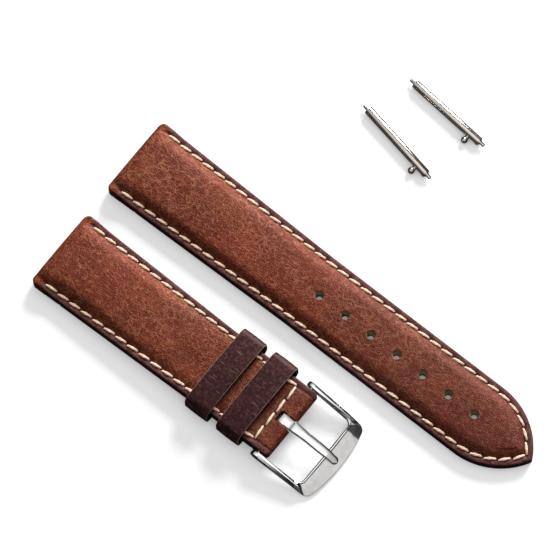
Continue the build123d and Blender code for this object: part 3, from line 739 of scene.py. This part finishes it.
short_rows = lug_rows + list(np.linspace(LUG_CORNER, SHORT_LENGTH - FOLD_CORNER, 200)[1:-1])
short_rows += [SHORT_LENGTH - row * 0.6 for row in reversed(lug_rows)]
mesh = strip(short_rows, FLAP_END, SHORT_LENGTH - FLAP_END, lining_lines, short_plan, lining_heights)
shown("short_lining_strip", mesh, SHORT_PLACE, lining_leather, "strap_set",
      ["short_lining"])
mesh = strip(short_rows, CORE_START, SHORT_LENGTH - FOLD_ROOM, stiffener_lines, short_plan, stiffener_heights)
shown("short_stiffener_strip", mesh, SHORT_PLACE, stiffener_fibre, "strap_set",
      ["short_stiffener"])
padding("short_padding_strip", "short_filler", SHORT_PLACE, short_rows, PADDING_END, short_plan,
        SHORT_EDGE, SHORT_CROWN)


# Top leather of the short piece: the same waxed calf, turned under at the lug end and again at the
# buckle, where it wraps the spring bar. A slot for the tongue is cut through the fold.
FOLD_NOSE = 1.6
FOLD_FLAP_END = 4.9
CROSS_DEPTH = 0.16
CROSS_WIDTH = 0.45
CROSS_BURNISH = 0.8
BAR_BORE = (70.7, 1.55, 0.9)
TONGUE_SLOT = ((68.8, -1.6, -2), (76, 1.6, 6))
SLOT_CORNER = 0.7


def short_side(side):
    """The awl holes of one side of the short piece."""
    marks = np.linspace(STITCH_START, CROSS_PLACE, SHORT_STITCHES + 1)
    return list(zip(marks, (half_width(marks) - STITCH_INSET) * side))


cross_reach = TAIL_WIDTH / 2 - STITCH_INSET
cross_row = [(CROSS_PLACE, cross_reach - 2 * cross_reach * index / 4) for index in range(5)]
short_holes = short_side(1) + short_side(-1) + cross_row


def short_top_heights(along, across, depth):
    top = skin(along, across, depth, SHORT_EDGE, SHORT_CROWN, short_holes)
    top -= CROSS_DEPTH * np.exp(-((along - CROSS_PLACE) / CROSS_WIDTH)**2) * (depth > STITCH_INSET)
    middle = FOLD_HEIGHT / 2
    end = np.sqrt(1 - np.clip(1 - (SHORT_LENGTH - along) / FOLD_NOSE, 0, 1)**2)
    top = middle + (top - middle) * end
    under = under_skin(along, depth, SHORT_EDGE, SHORT_CROWN, PADDING_END)
    return np.where(along > SHORT_LENGTH - FOLD_ROOM, middle * (1 - end), under), top


def short_marks(along, across, depth, level):
    marks = skin_marks(along, across, depth, level, short_holes, ([30, 60, 73.4], [0, 0.25, 0.4]))
    row = np.exp(-((along - CROSS_PLACE) / CROSS_BURNISH)**2) * (depth > 1.2) * (level > 0.5)
    marks["burnish"] = np.maximum(marks["burnish"], row)
    return marks


mesh = layer(short_rows, top_lines, short_plan, short_top_heights, short_marks)
bmesh.ops.recalc_face_normals(mesh, faces=mesh.faces)
bores = bmesh.new()
drill(bores, *LUG_TUNNEL)
drill(bores, *BAR_BORE)
mesh = cut_away(mesh, bores)
slots = bmesh.new()
block(slots, *KNOB_NOTCH)
block(slots, *TONGUE_SLOT)
corners = [e for e in slots.edges if all(abs(v.co.x - TONGUE_SLOT[0][0]) < 0.1 for v in e.verts)]
corners = [e for e in corners if abs(e.verts[0].co.z - e.verts[1].co.z) > 5]
bmesh.ops.bevel(slots, geom=corners, offset=SLOT_CORNER, offset_type="OFFSET", segments=4, profile=0.5,
                affect="EDGES", material=-1)
mesh = cut_away(mesh, slots)
for start, end in ((FLAP_START, FLAP_END), (SHORT_LENGTH - FLAP_END, SHORT_LENGTH - FOLD_FLAP_END)):
    mesh = joined(mesh, strip(short_rows, start, end, lining_lines, short_plan, lining_heights))
shown("short_top_leather_skin", mesh, SHORT_PLACE, top_leather, "strap_set",
      ["short_top_leather"])


# Threads of the short piece: the same waxed linen, sewn along both sides, and in a row of four stitches
# across the fold, which holds the bar in its loop.
seam("short_thread", "short_stitching", SHORT_PLACE, [short_side(1), short_side(-1)], SHORT_EDGE)
seam("fold_thread", "short_cross_stitching", SHORT_PLACE, [cross_row], ([0], [FOLD_HEIGHT]))


# Keepers: two loops of firm dark calf, 6.9 mm wide and 1.1 mm thick, bent round the short piece with
# their cut edges bevelled and left pale at the corner. One is held beside the buckle, one slides.
# The section gives places across the strip and shares of its thickness, from the inside round the top.
KEEPER_THICKNESS = 1.1
KEEPER_INNER_HEIGHT = 4.05
KEEPER_BOW = 0.6
KEEPER_HALF = TAIL_WIDTH / 2 + 0.75
KEEPER_SHIFT = 0.2
KEEPER_LOW_ROUND = 0.4
KEEPER_HIGH_ROUND = 1.1
KEEPER_SECTION = [(0.35, 0), (0, 0.2), (0, 0.78), (0.03, 0.88), (0.1, 0.96), (0.2, 1.0), (0.8, 1.0),
                  (2.0, 1.04), (3.45, 1.05), (4.9, 1.04), (6.1, 1.0), (6.7, 1.0), (6.8, 0.96),
                  (6.87, 0.88), (6.9, 0.78), (6.9, 0.2), (6.55, 0), (3.45, 0), (0.35, 0)]
FIXED_KEEPER_START = 58.6
FREE_KEEPER_START = 48.9
FREE_KEEPER_BOTTOM = -0.15

# Dark dyed calf: close pores, dull scuffs and short pale scratches, and a raw pale line at each cut
# corner. Its pores are drawn coarser than the real ones, as the strap's are.
keeper_leather, tree, shader, place = new_material("dark_dyed_calf")
cloud = node(tree, "ShaderNodeTexNoise", {"Vector": place, "Scale": every(6.25), "Detail": 4})
scuff = {"Vector": place, "Scale": every(0.7692), "Detail": 5, "Roughness": 0.7}
scuff = node(tree, "ShaderNodeTexNoise", scuff)
pores = node(tree, "ShaderNodeTexNoise", {"Vector": place, "Scale": every(0.4167), "Detail": 3})
scale = [every(size) for size in (3.846, 0.3846, 0.3846)]
drawn = node(tree, "ShaderNodeMapping", {"Vector": place, "Rotation": (0, 0, 0.9), "Scale": scale})
scratch = node(tree, "ShaderNodeTexNoise", {"Vector": drawn, "Scale": 1.0, "Detail": 3})
raw = node(tree, "ShaderNodeAttribute", attribute_name="cut_corner").outputs["Fac"]
paint = node(tree, "ShaderNodeAttribute", attribute_name="edge_paint").outputs["Fac"]
share = node(tree, "ShaderNodeMapRange", {0: cloud, 1: 0.35, 2: 0.65})
tint = node(tree, "ShaderNodeMix", {0: share, 6: colour("#2a1012"), 7: colour("#3a1b19")}, data_type="RGBA")
for pattern, low, high, most, code in (
    (scuff, 0.48, 0.64, 0.6, "#6d4c4a"),
    (pores, 0.42, 0.3, 0.6, "#1a0a0a"),
    (scratch, 0.63, 0.73, 0.5, "#a88680"),
    (raw, 0.4, 1.0, 0.75, "#c9a99b"),
    (paint, 0.3, 1.0, 1.0, "#170d0e"),
):
    share = node(tree, "ShaderNodeMapRange", {0: pattern, 1: low, 2: high, 4: most})
    tint = node(tree, "ShaderNodeMix", {0: share, 6: tint, 7: colour(code)}, data_type="RGBA")
tree.links.new(tint.outputs[2], shader.inputs["Base Color"])
gloss = node(tree, "ShaderNodeMapRange", {0: scuff, 1: 0.3, 2: 0.7, 3: 0.42, 4: 0.62})
tree.links.new(gloss.outputs[0], shader.inputs["Roughness"])
shader.inputs["Specular IOR Level"].default_value = 0.3
shader.inputs["Specular Tint"].default_value = colour("#dab0b0")
bump = node(tree, "ShaderNodeBump", {"Height": pores, "Strength": 0.35, "Distance": 0.00006})
tree.links.new(bump.outputs[0], shader.inputs["Normal"])


def corner_path(half, low, high, low_round, high_round):
    """Points round a rectangle with round corners, from the middle of its underside, bowed on top."""
    corners = [(half, low, low_round, -90), (half, high, high_round, 0),
               (-half, high, high_round, 90), (-half, low, low_round, 180)]
    points = [(0.0, low)]
    for y, z, radius, start in corners:
        cy = y - math.copysign(radius, y)
        cz = z + radius if z == low else z - radius
        if start == 90:
            flat = half - radius
            for share in np.linspace(0.875, -0.875, 15):
                points.append((flat * share, high + KEEPER_BOW * (1 - share**2)))
        for step in range(9):
            angle = math.radians(start + 90 * step / 8)
            points.append((cy + radius * math.cos(angle), cz + radius * math.sin(angle)))
    return points + [(0.0, low)]


def keeper(name, start, bottom, body, cad_node):
    """A leather loop: its section is carried round a path with softly turned corners."""
    inner, outer = (
        corner_path(KEEPER_HALF + grown, bottom - grown, bottom + KEEPER_INNER_HEIGHT + grown,
                    KEEPER_LOW_ROUND + grown, KEEPER_HIGH_ROUND + grown)
        for grown in (0, KEEPER_THICKNESS)
    )
    mesh = bmesh.new()
    cut = mesh.verts.layers.float.new("cut_corner")
    side = mesh.verts.layers.float.new("edge_paint")
    turns, places = len(inner) - 1, len(KEEPER_SECTION) - 1
    bmesh.ops.create_grid(mesh, x_segments=turns, y_segments=places, size=1)
    for v in mesh.verts:
        turn = round((v.co.x + 1) / 2 * turns)
        across, height = KEEPER_SECTION[round((v.co.y + 1) / 2 * places)]
        y = inner[turn][0] + (outer[turn][0] - inner[turn][0]) * height
        z = inner[turn][1] + (outer[turn][1] - inner[turn][1]) * height
        v[cut] = 1.0 if 0.86 < height < 0.98 else 0.0
        v[side] = 1.0 if height < 0.8 else 0.0
        v.co = (start + across, y + KEEPER_SHIFT, z)
    bmesh.ops.remove_doubles(mesh, verts=mesh.verts, dist=0.0005)
    shown(name, mesh, SHORT_PLACE, keeper_leather, body, [cad_node], 50)


keeper("fixed_keeper_loop", FIXED_KEEPER_START, 0.0, "strap_set", "fixed_keeper")
keeper("free_keeper_loop", FREE_KEEPER_START, FREE_KEEPER_BOTTOM, "free_keeper", "free_keeper")


# The buckle's frame: stainless steel, cast, tumbled and mirror-polished, so it shows the room as a
# mirror does. Two slim arms, bevelled towards the window, run from the bar's lugs to a bowed front
# plate, which has a narrow lip along the window and falls away to its outer edge.
HINGE = (9.3057, -38.6918, 3.3568)
FRAME_DROP = 8.07
BUCKLE_PLACE = Matrix.Scale(0.001, 4) @ Matrix.Translation(HINGE)
BUCKLE_PLACE = BUCKLE_PLACE @ Matrix.Rotation(math.radians(FRAME_DROP), 4, "Y")
FRAME_REACH = 17.5
WINDOW_REACH = 12.7
FRONT_RADIUS = 42.9
INNER_HALF = 10.4
ARM_WIDTH = 1.2
LUG_RADIUS = 1.5
BAR_HOLE_RADIUS = 0.5
BAR_HOLE_REACH = 11.15

# Along the frame: heights of its top and underside. Corners: centre, radius and the angle they end at.
FRAME_TOP = ([0, WINDOW_REACH, FRAME_REACH], [1.5, 1.3, 0.1])
FRAME_UNDER = ([0, WINDOW_REACH, FRAME_REACH], [-1.5, -1.1, -0.9])
INNER_CORNER = (10.9, 8.25, 1.8, 0.0)
OUTER_CORNER = (14.43, 9.28, 2.0, 13.1)
CORNER_FALL = 0.24
CORNER_FALL_START = 7.9

# From the inner line to the outer one: heights of an arm, which starts flatter at the lug and whose
# bevel grows along it, and of the plate, which takes over round the corner.
BEVEL_SHARE = 0.42
BEVEL_RISE = 0.75
BEVEL_GROWTH = ([0.12, 0.82], [0.08, 1.0])
ARM_CREST = 0.56
ARM_SHAPE = ([0, 0.02, BEVEL_SHARE, ARM_CREST, 0.98, 1.0], [-0.12, 0, 0, -0.02, -0.6, -0.75])
ARM_FLAT = 0.35
PLATE_SHAPE = ([0, 0.01, 0.06, 0.11, 0.17, 0.18, 0.5, 0.985, 1.0],
               [-0.5, -0.32, -0.02, 0.03, -0.1, -0.1, -0.06, -0.1, -0.35])
PLATE_START = 1.35
PLATE_SLANT = 0.75
PLATE_BLEND = 0.45


def steel(name, tint, rough, streak):
    """Polished or turned stainless steel, with faint wiping marks."""
    material, tree, shader, place = new_material(name)
    shader.inputs["Metallic"].default_value = 1.0
    haze = node(tree, "ShaderNodeTexNoise", {"Vector": place, "Scale": every(1.667), "Detail": 4})
    veil = node(tree, "ShaderNodeMapRange", {0: haze, 1: 0.4, 2: 0.7, 4: 0.25})
    veiled = node(tree, "ShaderNodeMix", {0: veil, 6: colour(tint), 7: colour("#b9b6b2")}, data_type="RGBA")
    tree.links.new(veiled.outputs[2], shader.inputs["Base Color"])
    gloss = node(tree, "ShaderNodeMapRange", {0: haze, 1: 0.3, 2: 0.7, 3: rough, 4: rough + streak})
    tree.links.new(gloss.outputs[0], shader.inputs["Roughness"])
    return material


# Mirror polish: it reflects the room sharply, and only a breath of haze dulls it.
polished_steel = steel("mirror_polished_steel", "#e4e3e2", 0.06, 0.06)


def soft_line(x, line, reach=0.25):
    """A line through points, with its bends drawn out."""
    return float(np.mean(np.interp(x + np.linspace(-reach, reach, 9), *line)))


def frame_line(turn, corner, outer):
    """A point of the inner or outer line: 0 to 1 along an arm, to 2 round its corner, to 3 to the middle."""
    x, y, radius, last = corner
    half = INNER_HALF + ARM_WIDTH * outer
    if turn <= 1:
        return Vector((x * turn, half + (y + radius - half) * turn))
    if turn <= 2:
        angle = math.radians(90 + (last - 90) * (turn - 1))
        return Vector((x + radius * math.cos(angle), y + radius * math.sin(angle)))
    if not outer:
        return Vector((x + radius, y * (3 - turn)))
    angle = math.radians(last) * (3 - turn)
    x = FRAME_REACH - FRONT_RADIUS + FRONT_RADIUS * math.cos(angle)
    return Vector((x, FRONT_RADIUS * math.sin(angle)))


def closed(mesh):
    """Merges the seam of a wrapped grid, closes its ends and turns its faces outwards."""
    bmesh.ops.remove_doubles(mesh, verts=mesh.verts, dist=0.001)
    bmesh.ops.holes_fill(mesh, edges=[e for e in mesh.edges if e.is_boundary])
    bmesh.ops.recalc_face_normals(mesh, faces=mesh.faces)
    return mesh


def frame_mesh():
    """The frame: its section is carried from one lug round both corners to the other lug."""
    turns = [step / 12 for step in range(9)] + [0.75 + step / 32 for step in range(8)]
    turns += [1 + step / 24 for step in range(24)] + [2 + step / 14 for step in range(15)]
    rows = [(turn, 1) for turn in turns] + [(turn, -1) for turn in turns[-2::-1]]
    shares = sorted(set(ARM_SHAPE[0] + PLATE_SHAPE[0]))
    ring = [(share, True) for share in shares] + [(share, False) for share in (0.96, 0.7, 0.3, 0.04)]
    ring.append((shares[0], True))
    mesh = bmesh.new()
    bmesh.ops.create_grid(mesh, x_segments=len(rows) - 1, y_segments=len(ring) - 1, size=1)
    for v in mesh.verts:
        turn, side = rows[round((v.co.x + 1) / 2 * (len(rows) - 1))]
        share, upper = ring[round((v.co.y + 1) / 2 * (len(ring) - 1))]
        bevel = BEVEL_SHARE * np.interp(turn, *BEVEL_GROWTH)
        if upper:
            share = float(np.interp(share, (0, BEVEL_SHARE, ARM_CREST, 1), (0, bevel, ARM_CREST, 1)))
        spot = frame_line(turn, INNER_CORNER, False).lerp(frame_line(turn, OUTER_CORNER, True), share)
        plate = min(max((turn - PLATE_START + PLATE_SLANT * share) / PLATE_BLEND, 0), 1)
        plate = plate * plate * (3 - 2 * plate)
        if upper:
            arm = np.interp(share, *ARM_SHAPE) * (ARM_FLAT + (1 - ARM_FLAT) * min(turn, 1))
            arm -= max(bevel - share, 0) * ARM_WIDTH * BEVEL_RISE
            height = soft_line(spot.x, FRAME_TOP, 0.8)
            height += arm * (1 - plate) + np.interp(share, *PLATE_SHAPE) * plate
            height -= CORNER_FALL * max(spot.y - CORNER_FALL_START, 0) * plate
        else:
            height = np.interp(spot.x, *FRAME_UNDER)
        v.co = (spot.x, spot.y * side, height)
    return closed(mesh)


def across_rod(radius, low, high, edge):
    """A round rod along the bar's line, with its edges rounded over."""
    rod = bmesh.new()
    spot = Matrix.Translation((0, (low + high) / 2, 0)) @ Matrix.Rotation(math.pi / 2, 4, "X")
    bmesh.ops.create_cone(rod, cap_ends=True, segments=64, radius1=radius, radius2=radius, depth=high - low,
                          matrix=spot)
    if edge:
        rims = [e for e in rod.edges if abs(e.verts[0].co.y - e.verts[1].co.y) < 0.001]
        bmesh.ops.bevel(rod, geom=rims, offset=edge, offset_type="OFFSET", segments=3, profile=0.5,
                        affect="EDGES", material=-1)
    return rod


mesh = frame_mesh()
for low in (INNER_HALF, -INNER_HALF - ARM_WIDTH):
    mesh = cut_away(mesh, across_rod(LUG_RADIUS, low, low + ARM_WIDTH, 0.25), "UNION")
mesh = cut_away(mesh, across_rod(BAR_HOLE_RADIUS, -BAR_HOLE_REACH, BAR_HOLE_REACH, 0))
shown("buckle_frame_polished", mesh, BUCKLE_PLACE, polished_steel, "buckle_frame",
      ["buckle_frame"], 20)


# The tongue: the same polished steel, a loop closed round the bar and a domed shank, bent down at its
# tip so that it lies on the bevelled front of the frame. It is pressed from one blank and bent.
LOOP_RADIUS = 1.5
LOOP_BORE = 0.95
LOOP_HALF = 1.4
TONGUE_START = -1.2
TONGUE_ROUND = 15.4
TONGUE_TOP = ([-1.2, -0.85, 0, 1.9, 2.6, 5.0, 8.0, 12.2, 13.2, 14.5, 16.4],
              [1.2, 1.46, 1.5, 1.5, 1.95, 2.1, 2.24, 2.3, 2.2, 1.8, 1.15])
TONGUE_UNDER = ([-1.2, 4.0, 12.7, 16.4], [1.0, 1.0, 1.38, 0.47])
TONGUE_HALF = ([-1.2, 3.0, 6.5, 11.0, 15.4], [1.4, 1.35, 1.14, 1.18, 1.02])
TONGUE_BEVEL = 0.27
TONGUE_BEVEL_DROP = 0.72
TONGUE_DOME = 0.07


def tongue_mesh():
    """The shank: a grid carried along it, domed on top, flat below and round at the tip."""
    rows = list(np.linspace(TONGUE_START, TONGUE_ROUND, 84))
    rows += [TONGUE_ROUND + math.sin(math.radians(7.5 * step)) for step in range(1, 13)]
    ring = [(0, 0, 0.0), (1, 0, 0.0), (1, 0, 0.5), (1, 0, 1.0)]
    ring += [(share, 1, 1.0) for share in (1, 0.75, 0.5, 0.25, 0, -0.25, -0.5, -0.75, -1)]
    ring += [(-1, 0, 1.0), (-1, 0, 0.5), (-1, 0, 0.0), (0, 0, 0.0)]
    mesh = bmesh.new()
    bmesh.ops.create_grid(mesh, x_segments=len(rows) - 1, y_segments=len(ring) - 1, size=1)
    for v in mesh.verts:
        x = rows[round((v.co.x + 1) / 2 * (len(rows) - 1))]
        share, inside, level = ring[round((v.co.y + 1) / 2 * (len(ring) - 1))]
        half = soft_line(x, TONGUE_HALF) * math.sqrt(max(1 - max(x - TONGUE_ROUND, 0)**2, 0))
        bevel = min(TONGUE_BEVEL, half)
        across = share * (half - bevel * inside)
        height = soft_line(x, TONGUE_TOP) - TONGUE_BEVEL_DROP * TONGUE_BEVEL * (1 - inside)
        height -= TONGUE_DOME * share * share
        under = np.interp(x, *TONGUE_UNDER)
        v.co = (x, across, under + level * (height - under))
    return closed(mesh)


loop = cut_away(across_rod(LOOP_RADIUS, -LOOP_HALF, LOOP_HALF, 0.2), across_rod(LOOP_BORE, -3, 3, 0))
mesh = joined(tongue_mesh(), loop)
shown("buckle_tongue_polished", mesh, BUCKLE_PLACE, polished_steel, "buckle_tongue",
      ["buckle_tongue"], 25)


# The buckle's own bar: a turned steel tube with two sprung tips and a coil spring between them. It lies
# hidden in the leather's fold, and its tips stand in the blind holes of the frame's arms.
def eased(node_name, width):
    """A copy of the CAD shape with its facets merged and its sharp edges rounded over."""
    mesh = bmesh.new()
    mesh.from_mesh(frame["nodes"][node_name].data)
    bmesh.ops.remove_doubles(mesh, verts=mesh.verts, dist=0.000001)
    bmesh.ops.dissolve_limit(mesh, angle_limit=math.radians(0.5), verts=mesh.verts, edges=mesh.edges)
    sharp = [e for e in mesh.edges if e.is_manifold and e.calc_face_angle(0) > math.radians(35)]
    bmesh.ops.bevel(mesh, geom=sharp, offset=width / 1000, offset_type="OFFSET", segments=2, profile=0.5,
                    affect="EDGES", clamp_overlap=True, material=-1)
    body = frame["nodes"][node_name]["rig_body"]
    shown(node_name + "_finished", mesh, Matrix.Identity(4), bar_steel, body, [node_name], 30)


def wound(node_name):
    """Gives a spring, whose CAD mesh stays, its drawn wire's finish."""
    spring = frame["nodes"][node_name].data
    spring.materials.clear()
    spring.materials.append(spring_steel)


# Turned steel is warmer and a little duller than the polished buckle; drawn spring wire is grey.
bar_steel = steel("turned_steel", "#cfc6bf", 0.1, 0.07)
spring_steel = steel("spring_wire", "#9c9894", 0.3, 0.1)
for name in ("buckle_bar_tube", "buckle_bar_far_tip", "buckle_bar_near_tip"):
    eased(name, 0.08)
wound("buckle_bar_spring")


# Loose quick-release bars: turned steel tubes with a fixed tip, a sprung plunger and a ball knob
# that pulls it in. They lie on the table as they come out of their bag.
for bar in ("first", "second"):
    for part, width in (("tube", 0.1), ("fixed_tip", 0.08), ("plunger", 0.08), ("release_knob", 0.05)):
        eased(bar + "_bar_" + part, width)
    wound(bar + "_bar_spring")


# The studio: a table of matt white board that fades to white, a large soft lamp beyond the strap and a
# weak one overhead. The board keeps the lamps' soft shadow, and the white glow that the camera sees on it
# is dimmed near the pieces as a painted soft shadow. The metal mirrors the board darker than it is, so
# that the buckle shows the dark room of the photograph.
TABLE_SIZE = 3
TABLE_DROP = 0.00002
SHADOW_REACH = 0.008
mesh = bmesh.new()
bmesh.ops.create_grid(mesh, x_segments=1, y_segments=1, size=TABLE_SIZE)
bmesh.ops.translate(mesh, verts=mesh.verts, vec=(0, 0, -TABLE_DROP))
data = bpy.data.meshes.new("table")
mesh.to_mesh(data)
table = bpy.data.objects.new("table", data)
bpy.context.scene.collection.objects.link(table)
white_table, tree, shader, place = new_material("matt_white_board")
shader.inputs["Roughness"].default_value = 0.9
shader.inputs["Specular IOR Level"].default_value = 0.0
seen = node(tree, "ShaderNodeLightPath")
mirrored = seen.outputs["Is Glossy Ray"]
pale, dark = colour("#e6e6e8"), colour("#6e6e70")
board = node(tree, "ShaderNodeMix", {0: mirrored, 6: pale, 7: dark}, data_type="RGBA")
tree.links.new(board.outputs[2], shader.inputs["Base Color"])
# Ambient occlusion dims the board's white glow near the pieces and under their holes: a painted soft shadow,
# over the lamps' real one.
near = node(tree, "ShaderNodeAmbientOcclusion", {"Distance": SHADOW_REACH}, samples=8)
shade = node(tree, "ShaderNodeMapRange", {0: near.outputs["AO"], 1: 0.0, 2: 0.86, 3: 0.16, 4: 0.66})
glow_with_painted_shadow = node(tree, "ShaderNodeMath", {0: seen.outputs["Is Camera Ray"], 1: shade}, operation="MULTIPLY")
shader.inputs["Emission Color"].default_value = (1, 1, 1, 1)
tree.links.new(glow_with_painted_shadow.outputs[0], shader.inputs["Emission Strength"])
data.materials.append(white_table)


def lamp(name, place, size, power):
    """A square soft box that points at the strap."""
    data = bpy.data.lights.new(name, "AREA")
    data.shape = "SQUARE"
    data.size = size
    data.energy = power
    made = bpy.data.objects.new(name, data)
    made.location = place
    made.rotation_euler = (-Vector(place)).to_track_quat("-Z", "Y").to_euler()
    bpy.context.scene.collection.objects.link(made)


lamp("window_box", (-0.2, 0.95, 0.46), 0.42, 20.0)
lamp("overhead_box", (0.2, -0.1, 1.1), 0.7, 0.6)


# The room: the camera sees white, the leather gets a weak even light from all round, and the metal
# mirrors a dark room that brightens overhead and is dimmed again beyond the strap.
ROOM_FILL = 0.07
ROOM_SHADES = ((0.5, 0.1), (0.64, 0.48), (0.8, 0.8))
world = bpy.data.worlds.new("studio")
world.use_nodes = True
bpy.context.scene.world = world
tree = world.node_tree
tree.nodes.clear()
way = node(tree, "ShaderNodeTexCoord").outputs["Generated"]
parts = node(tree, "ShaderNodeSeparateXYZ", {0: way})
shades = node(tree, "ShaderNodeValToRGB", {"Fac": parts.outputs[2]})
shades.color_ramp.elements[0].position = 0.3
shades.color_ramp.elements[0].color = (0.02, 0.02, 0.022, 1)
shades.color_ramp.elements[1].position = 0.98
shades.color_ramp.elements[1].color = (1.0, 1.0, 1.0, 1)
for spot, grey in ROOM_SHADES:
    shades.color_ramp.elements.new(spot).color = (grey, grey, grey, 1)
flag = node(tree, "ShaderNodeMapRange", {0: parts.outputs[1], 1: 0.36, 2: 0.46, 3: 1.0, 4: 0.15})
room = node(tree, "ShaderNodeMath", {0: shades.outputs[0], 1: flag}, operation="MULTIPLY")
seen = node(tree, "ShaderNodeLightPath")
mirrored = seen.outputs["Is Glossy Ray"]
light = node(tree, "ShaderNodeMix", {0: mirrored, 2: ROOM_FILL, 3: room}, data_type="FLOAT")
seen = seen.outputs["Is Camera Ray"]
light = node(tree, "ShaderNodeMix", {0: seen, 2: light, 3: 1.0}, data_type="FLOAT")
backdrop = node(tree, "ShaderNodeBackground", {"Color": (1, 1, 1, 1), "Strength": light})
node(tree, "ShaderNodeOutputWorld", {"Surface": backdrop.outputs[0]})


# The camera: a long lens high over the table, turned as the photograph looks at the strap. The lens
# gives the strap the photograph's size, which is 4.093 pixels a millimetre at the aim.
AZIMUTH = math.radians(38.62)
ELEVATION = math.radians(73.43)
AIM = Vector((-0.0144, -0.0108, 0))
DISTANCE = 1.513
PIXELS_PER_METRE = 4093
FRAME_PIXELS = 560
SENSOR = 36
camera_data = bpy.data.cameras.new("camera")
camera_data.sensor_width = SENSOR
camera_data.lens = PIXELS_PER_METRE * DISTANCE / FRAME_PIXELS * SENSOR
camera_data.clip_end = 20
camera = bpy.data.objects.new("camera", camera_data)
level = Vector((math.sin(AZIMUTH), -math.cos(AZIMUTH), 0))
back = level * math.cos(ELEVATION) + Vector((0, 0, math.sin(ELEVATION)))
camera.location = AIM + back * DISTANCE
camera.rotation_euler = back.to_track_quat("Z", "Y").to_euler()
bpy.context.scene.collection.objects.link(camera)
bpy.context.scene.camera = camera
bpy.context.scene.view_settings.view_transform = "Standard"
